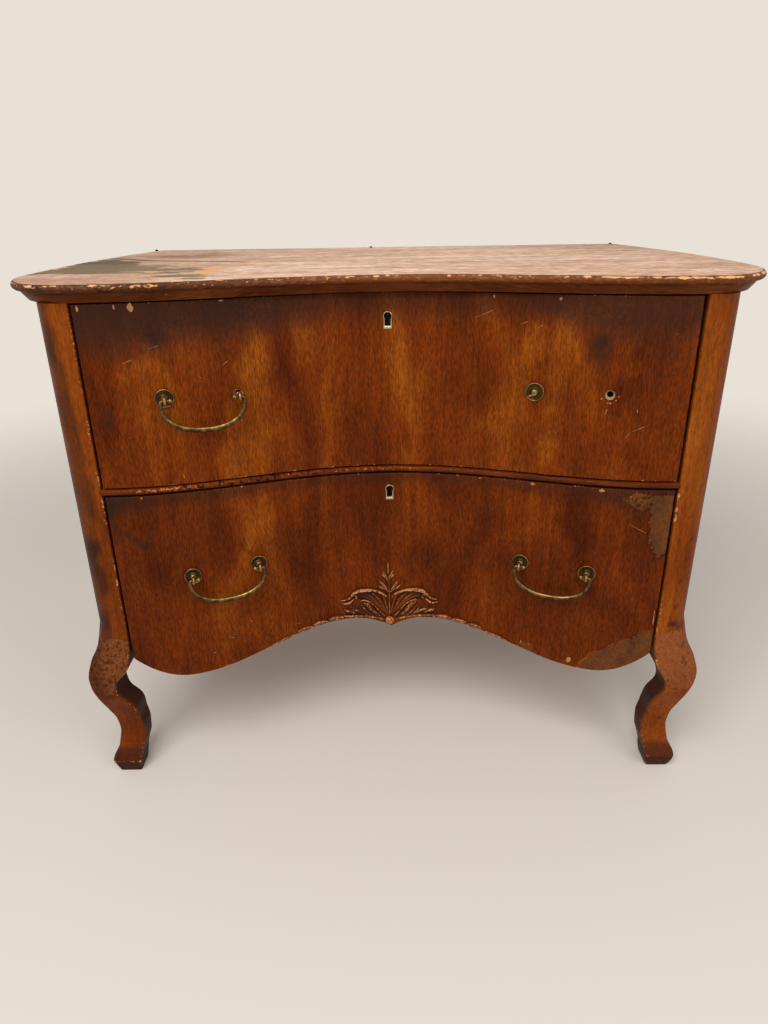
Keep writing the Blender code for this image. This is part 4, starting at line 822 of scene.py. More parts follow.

# Rail between the drawers: half-round nose that follows the front, rubbed and nicked, with painted highlight
# above and painted shade below

railSizes = {"low": 0.4695, "radius": 0.0045, "proud": 0.0015, "back": 0.135, "half": 0.3832, "steps": 900,
             "noseSteps": 15, "nickDeep": 0.0011, "fleckX": -0.2, "fleckHalf": 0.12}


def midRail():
    # half circle that follows the front's wave, drawn in where it is nicked
    r = railSizes
    x = np.linspace(-r["half"], r["half"], r["steps"])[:, None]
    turn = np.linspace(-np.pi / 2, np.pi / 2, r["noseSteps"])
    around = turn * 0.004  # about the nose's own length, so that its noise has round cells
    nick = np.clip(valueNoise(x, 0, turn, 0.007, 6) - 0.25, 0, 1)
    nick = nick * r["nickDeep"] * np.cos(turn) * (0.4 + 0.6 * smoothStep(-x, -0.05, 0.1))
    y = serpentine(x) - r["proud"] + r["radius"] - r["radius"] * np.cos(turn) + nick
    z = r["low"] + r["radius"] + r["radius"] * np.sin(turn)
    # dark flecks of old finish, thick left of the middle
    fleck = smoothStep(valueNoise(x, 0, around, 0.003, 41), 0.3, 0.5)
    fleck = fleck * np.exp(-((x - r["fleckX"]) / r["fleckHalf"]) ** 2)
    # bright along the nose's upper half, rubbed and painted as highlight, most on the left; painted shade
    # below it, and dark at the right end
    patchy = 0.5 + 0.6 * valueNoise(x * 0.3, 0, around, 0.009, 9)
    wear = 0.72 * np.clip(np.cos(turn - 0.35), 0, 1) ** 3 * patchy
    wear = wear * (0.45 + 0.5 * smoothStep(-x, -0.10, 0.10)) * (1 - np.clip(1.5 * fleck, 0, 1))
    shade = 0.8 * smoothStep(-turn, 0.2, 0.9) + 0.35 * smoothStep(x, 0.15, 0.33)
    shade = np.maximum(shade, 1.3 * fleck)
    # two more lines close the section behind
    y = np.hstack([y, np.full((len(x), 2), r["back"])])
    z = np.append(z, [r["low"] + 2 * r["radius"], r["low"]])
    fields = {"wear": np.hstack([wear, np.zeros((len(x), 2))]),
              "stain": np.hstack([shade, np.ones((len(x), 2))])}
    return [gridShell(pointGrid(x, y, z), closeV=True, capU=True, fields=fields)]


makePiece("midRail", midRail(), railWood, "case", "mid_rail",
          [[boltMortise(railSizes["low"])]])
print("rail made")

# Drawer fronts: veneered serpentine boards with eased edges, bored for keyholes and pulls

keySizes = {"head": 0.0065, "slot": 0.0056, "height": 0.0230, "wall": 0.0018, "sill": 0.0022,
            "corner": 0.0008, "fit": 0.0002, "ringDeep": 0.0042, "before": 0.02, "intoLock": 0.004}
# millimetres: bores for the posts, wider where a rosette is lost, and how far the eyes stand out
pullSizes = {"hole": 4, "recess": 6.6, "recessDeep": 5, "before": -20, "behind": 42, "eyeReach": 15.5}
# hand, level, then the inner and outer boring: place across and rise, as shares of the half width
pullPlaces = {
    "upper_left": (-1, 0.596, (0.515, 0.0026), (0.751, 0.0079)),
    "upper_right": (1, 0.596, (0.5025, -0.0053), (0.7415, -0.0026)),
    "lower_left": (-1, 0.344, (0.502, 0.0079), (0.7365, -0.0066)),
    "lower_right": (1, 0.344, (0.4935, -0.0026), (0.729, -0.0158)),
}
noRosette = {"upper_left": "inner", "upper_right": "outer"}


def pullLine(word):
    # the two borings, and the line through the eyes: its turn, tilt, middle and half length
    hand, level, inner, outer = pullPlaces[word]
    spots = {}
    for spot, (share, rise) in (("inner", inner), ("outer", outer)):
        x = hand * share * drawerHalf
        spots[spot] = (x, float(serpentine(x)), level + rise * drawerHalf)
    left, right = sorted(spots.values())
    across, back, up = np.subtract(right, left)
    turn, run = math.atan2(back, across), math.hypot(across, back)
    out = pullSizes["eyeReach"] / 1000
    middle = np.add(left, right) / 2 + (out * math.sin(turn), -out * math.cos(turn), 0)
    return spots, turn, -math.atan(up / run), middle, math.hypot(run, up) / 2


def keyhole(grow, headSteps=40, cornerSteps=6):
    # round head over a slot with a square foot, about the head's middle; inside, the foot is a thick sill
    k = keySizes
    head, slot, corner = k["head"] + grow, k["slot"] + grow, k["corner"]
    low = k["height"] - k["head"] + grow * (1 + k["sill"] / k["wall"]) - corner
    opening = math.acos(slot / head)
    a = np.linspace(-opening, np.pi + opening, headSteps)
    b = np.linspace(0, np.pi / 2, cornerSteps)
    lines = [np.stack([head * np.cos(a), head * np.sin(a)], -1)]
    for side, start in ((-1, np.pi), (1, 1.5 * np.pi)):
        lines.append(np.stack([side * (slot - corner) + corner * np.cos(start + b),
                               -low + corner * np.sin(start + b)], -1))
    return np.vstack(lines)


def loop(outline, y, z):
    # flat outline set upright at a depth and a height
    return pointGrid(outline[:, 0], y, outline[:, 1] + z)


def keyLevel(f):
    # height of the middle of the keyhole's head
    return f["high"] - f["drop"] + keySizes["height"] / 2 - keySizes["head"]


# Soft spots of tone and stain: middle and half-sizes in millimetres, amount in hundredths.
# Band of painted shadow under the top's overhang, and under the rail on the lower drawer, heavier where the
# flanks are dirty too: place across and reach down in millimetres, amount in hundredths.
# Outlines of lost finish are in millimetres.
fronts = {
    "upper": {
        "low": lambda x: 0.4805 + 0 * x, "high": 0.7175, "drop": 0.0356, "seed": 40, "dim": 0.0,
        "splinter": 0.0020,
        "tone": ((-178, 640, 22, 45, 20), (-117, 656, 16, 35, 14), (-321, 639, 20, 20, 12),
                 (-182, 520, 20, 50, 12), (186, 655, 14, 30, 17), (227, 666, 16, 30, 17),
                 (293, 635, 16, 28, 15), (134, 561, 14, 25, 14), (203, 515, 18, 50, 16),
                 (40, 580, 60, 80, 6), (-142, 623, 16, 50, -14), (117, 605, 20, 30, -13),
                 (229, 564, 20, 30, -10), (334, 640, 30, 60, -12), (-347, 600, 40, 90, -5),
                 (100, 600, 50, 70, -6), (320, 590, 50, 60, -8), (280, 520, 80, 40, -9),
                 (-30, 620, 60, 60, 6)),
        "shadowAndDirtBand": ((-380, 85, 85), (-356, 85, 85), (-290, 85, 90), (-240, 70, 90), (-195, 72, 90),
                 (-137, 62, 80), (-75, 45, 60), (40, 48, 45), (103, 45, 50), (163, 42, 45), (220, 52, 80),
                 (278, 75, 80), (326, 75, 75), (380, 75, 70)),
        "stain": ((262, 652, 12, 16, 80), (-357, 577, 6, 12, 70), (-352, 590, 3, 8, 50),
                  (345, 640, 20, 30, 25), (-290, 672, 12, 10, 35)),
        "loss": (),
        "imprint": ((0.2818, 0.595, 0.0102),),
    },
    "lower": {
        "low": apron, "high": 0.4675, "drop": 0.029, "seed": 60, "dim": -0.10, "splinter": 0.0008,
        "tone": ((-180, 410, 18, 50, 20), (-226, 237, 50, 30, 12), (187, 420, 26, 50, 17),
                 (222, 400, 16, 30, 15), (165, 365, 12, 30, 10), (-128, 436, 20, 30, 10),
                 (-321, 371, 45, 80, -12), (41, 342, 30, 30, -15), (161, 345, 12, 50, -12),
                 (265, 410, 30, 40, -12), (-203, 386, 6, 16, -16), (-44, 396, 50, 50, -6),
                 (300, 300, 60, 60, -6), (280, 250, 80, 50, -7), (290, 360, 60, 60, -5)),
        "shadowAndDirtBand": ((-380, 40, 90), (-330, 28, 70), (-250, 22, 50), (0, 20, 40), (200, 22, 45), (300, 35, 60),
                 (380, 40, 60)),
        "stain": ((-374, 430, 6, 30, 70), (-362, 418, 6, 10, 70), (-352, 406, 7, 8, 80),
                  (-341, 396, 6, 6, 80), (345, 440, 30, 12, 35)),
        "loss": (((311.5, 452.6), (336.7, 434.8), (350, 444), (352, 430), (349, 405), (366.5, 360),
                  (381.6, 384.9), (381.6, 461), (330, 462)),
                 ((275.7, 175.4), (294, 206.8), (327.1, 226.2), (352.9, 243), (371.6, 252), (386.8, 250),
                  (386.8, 190), (311.4, 160)),
                 ((188, 196), (200, 212), (212, 206), (222, 190), (200, 185))),
        "imprint": (),
    },
}
frontSizes = {"ease": 0.0012, "rim": 0.0004, "columns": 400, "rows": 140, "easeSteps": 5, "peelDeep": 0.0005}


def frontBoard(f):
    # section round the board at each place across: eased lower edge, face, eased upper edge, back
    ease, rim, half = frontSizes["ease"], frontSizes["rim"], drawerHalf
    x = np.linspace(-half + ease, half - ease, frontSizes["columns"])
    x = np.concatenate([[-half, -half + rim], x, [half - rim, half]])[:, None]
    low, high, seed = f["low"](x), f["high"], f["seed"]
    faceY = serpentine(x) + ease * smoothStep(np.abs(x), half - ease, half) ** 2
    behind = serpentine(x) + frontThick
    corner = np.linspace(0, np.pi / 2, frontSizes["easeSteps"])[1:][None]
    eased, rise = faceY + ease * (1 - np.cos(corner)), ease * np.sin(corner)
    z = low + ease + (high - low - 2 * ease) * np.linspace(0, 1, frontSizes["rows"])
    depth = np.hstack([eased[:, ::-1], faceY + 0 * z, eased, behind, behind])
    height = np.hstack([low + ease - rise[:, ::-1], z, high - ease + rise + 0 * x, high + 0 * x, low])
    # the right edge is splintered back from its post, most at the top
    splinter = f["splinter"] * (0.35 + 0.65 * smoothStep(height, high - 0.22, high))
    splinter = splinter * (1 + 0.4 * valueNoise(0, 0, height, 0.005, seed + 8))
    wide = x - splinter * smoothStep(x, half - 0.006, half - 0.001)

    def noise(cell, step, squeeze=1.0):
        return valueNoise(wide, 0, squeeze * height, cell, seed + step)

    # lost finish in millimetres inside its ragged outlines; the left ends keep islands of finish
    bendX, bendZ = 0.0035 * noise(0.011, 3), 0.0035 * noise(0.011, 5)
    loss = np.zeros(depth.shape)
    for corners in f["loss"]:
        away = insideDistance(wide + bendX, height + bendZ, corners)
        loss = np.maximum(loss, away + 2 + 1.5 * noise(0.008, 7))
    torn = 0.55 * np.exp(-((loss - 3.4) / 0.8) ** 2)
    byApron = height < 0.3
    blotch = (loss > 1) * (0.3 * noise(0.013, 9, 0.6) - 0.05 + 0.12 * byApron)
    stripped = np.where(byApron, smoothStep(wide, 0.275, 0.305), smoothStep(wide, 0.344, 0.358))
    loss = np.minimum(loss, 4.5 + 9 * stripped)
    depth = depth + frontSizes["peelDeep"] * smoothStep(loss, 1.0, 3.5) * (depth < behind - 0.010)
    # both long edges are rubbed, and a lost rosette has left the print of its rim
    under, top = np.exp(-((height - low) / 0.0018) ** 2), np.exp(-((height - high) / 0.0012) ** 2)
    flake = noise(0.012, 0)
    wear = under * (0.30 + 0.5 * flake) + top * (0.12 + 0.4 * flake) + torn * (0.7 + 0.6 * flake)
    for middle, level, radius in f["imprint"]:
        away = np.hypot(wide - middle, height - level) - radius
        lowerHalf = smoothStep(height, level + 0.006, level - 0.004)
        wear = np.maximum(wear, 0.6 * np.exp(-(away / 0.0018) ** 2) * lowerHalf)
    # painted shadow under the top or the rail, laid into the stain mark, with real dirt at the flanks
    reach, amount = np.moveaxis(smoothLine(f["shadowAndDirtBand"], 1000 * wide) / (1000, 100), -1, 0)
    stain = amount * smoothStep(height, high - reach, high - 0.3 * reach)
    stain = stain + blobs(wide, height, f["stain"], 0.006)
    # the ends and the back are plain and dark
    inner = np.abs(x) < half - 0.0003
    hidden = ~inner | (depth > faceY + 0.9 * ease + 0.0006)
    fields = {"tone": f["dim"] + 1.2 * blobs(wide, height, f["tone"], 0.012) + blotch,
              "stain": np.maximum(stain, hidden), "loss": loss * inner, "wear": wear * inner}
    return gridShell(pointGrid(wide, depth, height), closeV=True, capU=True, fields=fields)


def frontBores(word):
    # keyhole with a wider seat for its ring, the pulls' holes, and the pocket for the lock behind
    f, k, s, lock = fronts[word], keySizes, pullSizes, lockSizes
    level, face = keyLevel(f), float(serpentine(0.0))
    seat, hole = keyhole(k["fit"]), keyhole(-k["wall"])
    rings = [loop(seat, face - k["before"], level), loop(seat, face + k["ringDeep"], level),
             loop(hole, face + k["ringDeep"], level), loop(hole, lock["front"] + k["intoLock"], level)]
    bores = [gridShell(np.stack(rings), closeV=True, capU=True)]
    for pull in pullPlaces:
        if not pull.startswith(word):
            continue
        spots, turn = pullLine(pull)[:2]
        for spot, place in spots.items():
            profile = [(s["hole"], s["before"]), (s["hole"], s["behind"])]
            if noRosette.get(pull) == spot:
                profile = [(s["recess"], s["before"]), (s["recess"], s["recessDeep"]),
                           (s["hole"], s["recessDeep"]), (s["hole"], s["behind"])]
            bores.append(gridShell(turned(profile, place, turn, 40), closeV=True, capU=True))
    pocket = boxShell((-lock["half"], lock["front"] - lock["slack"], f["high"] - lock["below"]),
                      (lock["half"], lock["back"], f["high"] + lock["above"]))
    return [bores, [pocket]]


for word, f in fronts.items():
    makePiece(word + "Front", [frontBoard(f)], veneer, word + "_drawer",
              word + "_drawer_front", frontBores(word))
print("drawer fronts made")

# Pulls: rosettes, eye posts and bails, and the keyhole rings

pullLook = {"eyeRadius": 0.0046, "eyeBar": 0.0020, "drop": 0.0405, "pin": 0.0021, "arm": 0.0026,
            "elbow": 0.0035, "bellyTall": 0.0036, "bellyDeep": 0.0028, "ball": 0.0031,
            "ballPlace": 0.0068, "fullness": 0.88, "pinSlack": 0.0005}
# turned profiles: radius and depth in millimetres, the rosette's with a share of its line first
rosetteLine = ((0, 12.5, -0.6), (0.12, 12.5, -1.7), (0.22, 12, -2.7), (0.30, 11.3, -2.9), (0.38, 10.5, -2.4),
               (0.45, 9.8, -1.8), (0.70, 6.2, -1.8), (0.80, 5.2, -2.6), (0.88, 4.5, -3.5), (1, 2.9, -3.9))
rosetteRub = ((0, 9, 14, 19, 24, 36, 43, 50), (-0.3, 0.2, 0.4, 0.0, -0.5, -0.5, -0.1, 0.0))
nutAndTail = ((2.2, -4.3), (2.2, 21.1), (6, 21.1), (6, 25.1), (2.2, 25.1), (2.2, 26.8), (0, 27.2))
wholeNeck = ((0, -11.8), (1.6, -11.5), (1.9, -9.8), (2.4, -7.6), (3.4, -6.6), (4.2, -6), (4.4, -5.5),
             (4.4, -4.6), (4.1, -4.3)) + nutAndTail
stubNeck = ((0, -7.2), (2.6, -7), (4, -6), (4.4, -5.2), (4.4, -4.3)) + nutAndTail
liningLine = ((6.4, 0.4), (6.55, 1), (6.55, 4.9), (4.1, 4.9), (4.1, 4.6), (5.8, 4.2))
scrapSizes = {"thick": 0.0015, "half": 0.0056, "rise": 0.0021, "x": -0.0022, "y": -0.0072, "z": -0.0032,
              "lean": 0.0010}


def rosette(place, turn):
    # ring profile spun about its bore: flat back, thin raised rim, flat dish, low boss
    line = smoothLine(rosetteLine, np.linspace(0, 1, 50))
    profile = np.vstack([line, [(2.9, -0.4), (12.4, -0.4)]])
    rub = np.interp(np.arange(len(profile)), *rosetteRub)
    spot = turned(profile, place, turn, 64)
    return gridShell(spot, closeU=True, closeV=True, fields={"wear": rub[:, None]})


def eyePost(place, turn):
    # turned collar, neck, nut and tail, and a round eye that stands upright in front
    p = pullLook
    around, over = fullTurn(48)[:, None], fullTurn(16)
    away = p["eyeRadius"] + p["eyeBar"] * np.cos(over)
    eye = pointGrid(p["eyeBar"] * np.sin(over), away * np.cos(around) - pullSizes["eyeReach"] / 1000,
                    away * np.sin(around))
    return [gridShell(turned(wholeNeck, place, turn, 32), closeV=True, fields={"wear": 0.3}),
            gridShell(spun(eye, place, turn), closeU=True, closeV=True, fields={"wear": 0.75})]


def stubPost(place, turn):
    # what is left of a broken post: nut and tail behind, collar and a bent scrap of the eye in front
    s = scrapSizes
    along, over = np.linspace(-1, 1, 24)[:, None], fullTurn(16)
    thick = s["thick"] * np.sqrt(np.clip(1 - along ** 8, 0, 1))
    scrap = pointGrid(s["x"] + s["half"] * along - thick * 0.35 * np.cos(over),
                      s["y"] - s["lean"] * along + thick * np.sin(over),
                      s["z"] + s["rise"] * along + thick * 0.93 * np.cos(over))
    return [gridShell(turned(stubNeck, place, turn, 32), closeV=True, fields={"wear": 0.45}),
            gridShell(spun(scrap, place, turn), closeV=True, capU=True, fields={"wear": 1.0})]


def recessLining(place, turn):
    # bare wood of the counterbore that a lost rosette leaves open
    return gridShell(turned(liningLine, place, turn, 48), closeU=True, closeV=True)


def bail(place, turn, tilt, half):
    # ball end, pin through the eye, elbow, then a full curve; heavier towards the bottom
    p = pullLook
    ball, bend = -half + p["ballPlace"], -half - p["eyeBar"] - p["pinSlack"]
    a = np.linspace(-1.45, math.acos(p["pin"] / p["ball"]), 16)
    b, c = np.linspace(0, np.pi / 2, 14)[1:], np.linspace(0, np.pi / 2, 60)[1:]
    x = np.concatenate([ball - p["ball"] * np.sin(a), [bend], bend - p["elbow"] * np.sin(b),
                        (bend - p["elbow"]) * np.cos(c) ** p["fullness"]])
    z = np.concatenate([0 * a, [0], p["elbow"] * (np.cos(b) - 1),
                        -p["elbow"] - (p["drop"] - p["elbow"]) * np.sin(c) ** p["fullness"]])
    radius = np.concatenate([p["ball"] * np.cos(a), [p["pin"]], p["pin"] + (p["arm"] - p["pin"]) * np.sin(b),
                             0 * c + p["arm"]])
    x[-1] = 0.0
    # the other half mirrors it
    x, z, radius = np.append(x, -x[-2::-1]), np.append(z, z[-2::-1]), np.append(radius, radius[-2::-1])
    heading = np.arctan2(np.gradient(z), np.gradient(x))[:, None]
    belly = np.clip(-z / p["drop"], 0, 1)[:, None] ** 2
    tall = radius[:, None] + (p["bellyTall"] - p["arm"]) * belly
    deep = radius[:, None] + (p["bellyDeep"] - p["arm"]) * belly
    angle = fullTurn(20)
    lift = tall * np.cos(angle)
    x, z = x[:, None] - lift * np.sin(heading), z[:, None] + lift * np.cos(heading)
    local = pointGrid(x * math.cos(tilt) + z * math.sin(tilt), deep * np.sin(angle),
                      z * math.cos(tilt) - x * math.sin(tilt))
    # the top of the belly is lighter, rubbed by hands and painted as highlight, its underside painted darker
    # as shade; the eyes have rubbed the pins
    top, below = np.clip(np.cos(angle), 0, 1), np.clip(-np.cos(angle), 0, 1)
    rub = belly * (0.6 * smoothStep(top, 0.3, 0.9) - 0.4 * below) + 0.5 * (np.abs(x) < half) * (z > -0.004)
    return gridShell(spun(local, place, turn), closeV=True, capU=True, fields={"wear": rub})


def keyRing(f):
    # keyhole outline carried round a rounded rim: growth and depth in millimetres
    wall, level = 1000 * keySizes["wall"], keyLevel(f)
    lines = ((0, 4), (0, -0.2), (-0.2, -0.5), (-0.7, -0.7), (-1.2, -0.6), (-1.6, -0.3), (-wall, 0),
             (-wall, 4))
    face = float(serpentine(0.0))
    rings = np.stack([loop(keyhole(grow / 1000), face + depth / 1000, level) for grow, depth in lines])
    sill = smoothStep(level - rings[..., 2], 0.011, 0.0135)
    return gridShell(rings, closeU=True, closeV=True, fields={"wear": 0.15 + 0.85 * sill})


bothWhole = {"inner": eyePost, "outer": eyePost}
fittings = {"upper_left": bothWhole, "upper_right": {"inner": stubPost}, "lower_left": bothWhole,
            "lower_right": bothWhole}
for word, posts in fittings.items():
    spots, turn, tilt, middle, half = pullLine(word)
    body = word.split("_")[0] + "_drawer"
    for spot, place in spots.items():
        name = f"{word}_{spot}"
        if spot in posts:
            makePiece("eyePost." + name, posts[spot](place, turn), brass, body,
                      "pull_post_" + name)
        if noRosette.get(word) == spot:
            makePiece("recessLining." + name, [recessLining(place, turn)], boredWood, body)
        else:
            plate = rosette(place, float(faceTurn(place[0])))
            makePiece("rosette." + name, [plate], brass, body, "rosette_" + name, sharp=60)
    if "outer" in posts:
        makePiece("bail." + word, [bail(middle, turn, tilt, half)], brass, word + "_bail",
                  "bail_" + word, sharp=60)
for word, f in fronts.items():
    makePiece("keyRing." + word, [keyRing(f)], ringBrass, word + "_drawer",
              "escutcheon_" + word, sharp=60)
print("hardware made")

# Carving: leaves, ribs and scrolls laid over one another on the lower drawer's face

carveSizes = {"tipHeight": 0.212,  # the crest's own heights start at its pendant
              "axis": -2.3, "lean": 1.6, "leanFrom": 70.0, "leanTo": 90.0,  # millimetres left of the middle
              "root": -0.8, "across": 21, "beadHeight": 11.4, "beadRadius": 7.6, "beadDeep": 8.0}


def curve(knots, count):
    # round curve through points: each stretch is a cubic whose slopes come from the points beside it
    knots = np.asarray(knots, float)
    ends = np.vstack([2 * knots[0] - knots[1], knots, 2 * knots[-1] - knots[-2]])
    t = np.linspace(0, len(knots) - 1, count)
    i = np.minimum(t.astype(int), len(knots) - 2)
    f = (t - i)[:, None]
    a, b, c, d = ends[i], ends[i + 1], ends[i + 2], ends[i + 3]
    return 0.5 * (2 * b + (c - a) * f + (2 * a - 5 * b + 4 * c - d) * f ** 2
                  + (3 * b - a - 3 * c + d) * f ** 3)


def onCrest(x, z, lift):
    # place on the face from the carving's millimetres
    return onFace(x / 1000, carveSizes["tipHeight"] + z / 1000, lift / 1000)


def leaf(knots, halves, heights, cup=0.0, rub=0.5, spread=0.12, steps=44):
    # path on the face; across it a ridge, or two rims with a hollow between; its height tapers along it
    path = curve(knots, steps)
    t = np.linspace(0, 1, steps)
    half = np.interp(t, np.linspace(0, 1, len(halves)), halves)[:, None]
    tall = np.interp(t, np.linspace(0, 1, len(heights)), heights)[:, None]
    along = np.gradient(path, axis=0)
    along /= np.linalg.norm(along, axis=1, keepdims=True)
    s = np.linspace(-1, 1, carveSizes["across"])[None]
    share = np.clip(1 - np.abs(s) ** 2.2, 0, 1) ** 0.7 * (1 - cup * np.exp(-(s / 0.38) ** 2))
    root = np.full((steps, 1), carveSizes["root"])
    lift = np.hstack([root, tall * share, root])
    s = np.hstack([s[:, :1], s, s[:, -1:]])
    share = np.hstack([[[0.0]], share / share.max(), [[0.0]]])
    spot = onCrest(path[:, :1] - along[:, 1:] * s * half, path[:, 1:] + along[:, :1] * s * half, lift)
    patchy = 0.85 + 0.3 * valueNoise(*np.moveaxis(spot, -1, 0), 0.004, 33)
    # upper sides of the ridges are lighter, rubbed and painted as lit from above, their lower sides darker as
    # painted shade; the ground is dark all over, as old varnish and painted shade
    upward = s * along[:, :1]
    wear = rub * smoothStep(share, 1 - spread, 1 - 0.4 * spread) * patchy * smoothStep(upward, -0.75, 0.0)
    stain = 0.8
    if rub:
        stain = 0.85 * (1 - smoothStep(share, 0.1, 0.5)) + 0.75 * smoothStep(-upward, 0.3, 0.8)
    return gridShell(spot, closeV=True, capU=True, fields={"wear": wear, "stain": stain})


# right half of the crest in millimetres: points, half widths, heights, then the hollow between rims,
# the rubbing with its painted highlight and how far down it spreads
crestLeaves = (
    # low ground under the scrolls and the palmette, dark as old varnish and painted shade
    (((3, 24), (12, 34), (22, 47), (36, 57), (50, 57), (58, 53)), (5, 9, 11, 9, 7, 3),
     (1.2, 1.5, 1.6, 1.5, 1.3, 0.8), 0, 0),
    (((9, 17), (24, 24), (40, 31), (54, 29), (68, 28)), (4, 7, 10, 7, 3), (1.2, 1.5, 1.6, 1.3, 0.8), 0, 0),
    (((0, 58), (5, 68), (10, 77)), (4, 6.5, 3.5), (1, 1.3, 0.8), 0, 0),
    (((0, 78), (3, 88), (5.5, 96)), (3, 4.5, 2), (0.8, 1, 0.6), 0, 0),
    # outer scroll: rolled edge that arches over, broad and rubbed in its middle, then drops
    (((5.1, 54), (9, 58.6), (14.6, 62), (23.5, 66), (33, 67), (42, 67.2), (51.4, 65), (56.5, 61), (60, 57)),
     (1.2, 1.8, 2, 2.2, 3.2, 3.4, 3.4, 2.6, 1.2), (4, 5.4, 6, 6.4, 7.2, 7.4, 7, 6, 4), 0, 0.95, 0.75),
    # hooked leaf at its end, in two bands, and a small curl inside
    (((57.5, 59), (62.5, 54.8), (68.5, 52.4), (75, 51.4)), (2.2, 2.4, 2, 0.5), (5.2, 5.2, 4.2, 1.8), 0, 0.8,
     0.3),
    (((55.5, 52.5), (60.5, 48), (67, 46), (74, 46.8)), (1, 2.4, 2.4, 0.6), (3.4, 5, 4.8, 1.8), 0, 0.9, 0.45),
    (((55, 60), (51.5, 57.5), (50.5, 54.5), (53.5, 53)), (1.6, 1.6, 1.5, 0.8), (4.8, 4.6, 4.2, 3), 0, 0.85,
     0.2),
    # flutes that sweep out of the base into the scroll
    (((1.9, 25), (4.6, 38), (7.6, 49), (11.5, 57.5)), (1.1, 1.9, 2.1, 0.8), (4, 5, 5, 3), 0, 0.5, 0.1),
    (((3.9, 24.6), (10.3, 38.2), (16.6, 50.2), (26.8, 61.5)), (1.3, 2.4, 2.8, 1), (3.8, 4.8, 4.8, 3), 0, 0.5,
     0.1),
    (((7.1, 26.2), (16.7, 40.6), (26.9, 52.8), (39, 61)), (1.3, 2.4, 2.6, 1), (3.4, 4.4, 4.2, 2.4), 0, 0.48,
     0.1),
    (((11, 28), (21, 41.5), (32, 51.5), (46, 57)), (1, 1.9, 2, 0.8), (3, 3.8, 3.2, 1.8), 0, 0.3, 0.1),
    # inner arch with a plain panel and a fan below it
    (((7.5, 20.5), (16.1, 30.1), (21.9, 38.5), (30, 46.1), (38.5, 49.9), (44.5, 48.5)),
     (1, 1.4, 1.5, 1.7, 1.9, 0.9), (4.4, 5.4, 5.8, 5.8, 5.4, 3.4), 0, 0.8, 0.3),
    (((20, 22), (28, 33), (35, 41), (41, 45)), (2, 4.2, 4.6, 2), (2.8, 3.2, 3.4, 2.6), 0, 0.55, 0.6),
    (((15, 20.1), (20.5, 26), (26, 33), (30, 40)), (1, 1.5, 1.5, 0.7), (3.2, 4.2, 4, 2.4), 0, 0.5, 0.12),
    (((25.3, 19.8), (32, 26), (38.2, 33), (43.5, 41)), (1.1, 1.7, 1.8, 0.8), (3, 4.2, 4.2, 2.4), 0, 0.5,
     0.12),
    (((33, 21), (39, 26.5), (44, 33), (47.5, 40)), (1.1, 1.7, 1.7, 0.7), (2.8, 3.8, 3.6, 2.2), 0, 0.5, 0.12),
    # leaves at the foot of the scroll
    (((42, 26), (47, 30.4), (52.5, 33), (57, 33.5)), (1.4, 2.4, 2.3, 0.9), (3.2, 4.8, 4.6, 2.2), 0.3, 0.75,
     0.2),
    (((54, 27.5), (60, 31.5), (66, 33.5), (70, 34.6)), (1.6, 3.2, 3, 1), (3.2, 5.2, 5, 2.2), 0, 0.75, 0.4),
    (((9.4, 12.8), (21.4, 16.6), (38.8, 20), (58, 22), (71, 22.6)), (1.6, 2.2, 2.4, 2.4, 1.4),
     (2.6, 3.4, 3.8, 3.8, 2), 0, 0.62, 0.7),
    # leaves of the palmette
    (((0.7, 61), (6, 68.6), (10.2, 75.8), (14.9, 81.6)), (0.9, 3.4, 3.4, 0.7), (3, 5.6, 5.6, 2.4), 0.45, 0.9,
     0.16),
    (((8.6, 67), (13.2, 71), (17.6, 74.6)), (0.8, 2.2, 0.6), (2.4, 4.6, 2), 0, 0.85, 0.2),
    (((0.8, 81), (3.5, 88.6), (6, 94.4), (7.8, 99.4)), (0.8, 2.7, 2.7, 0.7), (2.6, 5, 5, 2.2), 0.45, 0.9,
     0.16),
    (((4.4, 86.6), (7, 90.4), (9.8, 93.6)), (0.6, 1.9, 0.5), (2, 4.2, 1.8), 0, 0.85, 0.2),
)
middleLeaves = (
    (((0, 57), (0, 70), (0, 84), (0, 97)), (1.2, 1.6, 1.4, 0.9), (3, 3.4, 3.2, 2.6), 0, 0.25),
    (((0.1, 94), (0.1, 103), (0, 109), (-0.1, 117)), (1, 1.8, 1.5, 0.5), (2.6, 4.8, 4.8, 2.4), 0, 0.9, 0.25),
    (((0, 23), (0, 36), (0, 50), (0, 58)), (1.7, 2, 1.5, 0.6), (4.6, 5.4, 4.6, 2.4), 0, 0.6, 0.12),
)


def crestLine(knots, hand):
    # the carver's axis lies left of the drawer's middle and leans a little further left above
    c = carveSizes
    x, z = np.array(knots, float).T
    return np.stack([hand * x + c["axis"] - c["lean"] * smoothStep(z, c["leanFrom"], c["leanTo"]), z], -1)


def bead(x, z, radius, deep):
    # ball flattened onto the face
    across, up, out = ballGrid(24, 32)
    lift = deep * out
    # its top is lighter, rubbed and painted as highlight, its base darker as painted shade
    fields = {"wear": 0.66 * smoothStep(lift, 1.5, 4.0), "stain": 0.95 * (1 - smoothStep(lift, 0.5, 2.5))}
    return gridShell(onCrest(x + radius * across, z + radius * up, lift), closeV=True, fields=fields)


crest = [leaf(crestLine(row[0], hand), *row[1:]) for row in crestLeaves for hand in (-1, 1)]
crest += [leaf(crestLine(row[0], 1), *row[1:]) for row in middleLeaves]
crest.append(bead(carveSizes["axis"], carveSizes["beadHeight"], carveSizes["beadRadius"],
                  carveSizes["beadDeep"]))
makePiece("carvingCrest", crest, carvedWood, "lower_drawer", "carving_crest", sharp=70)

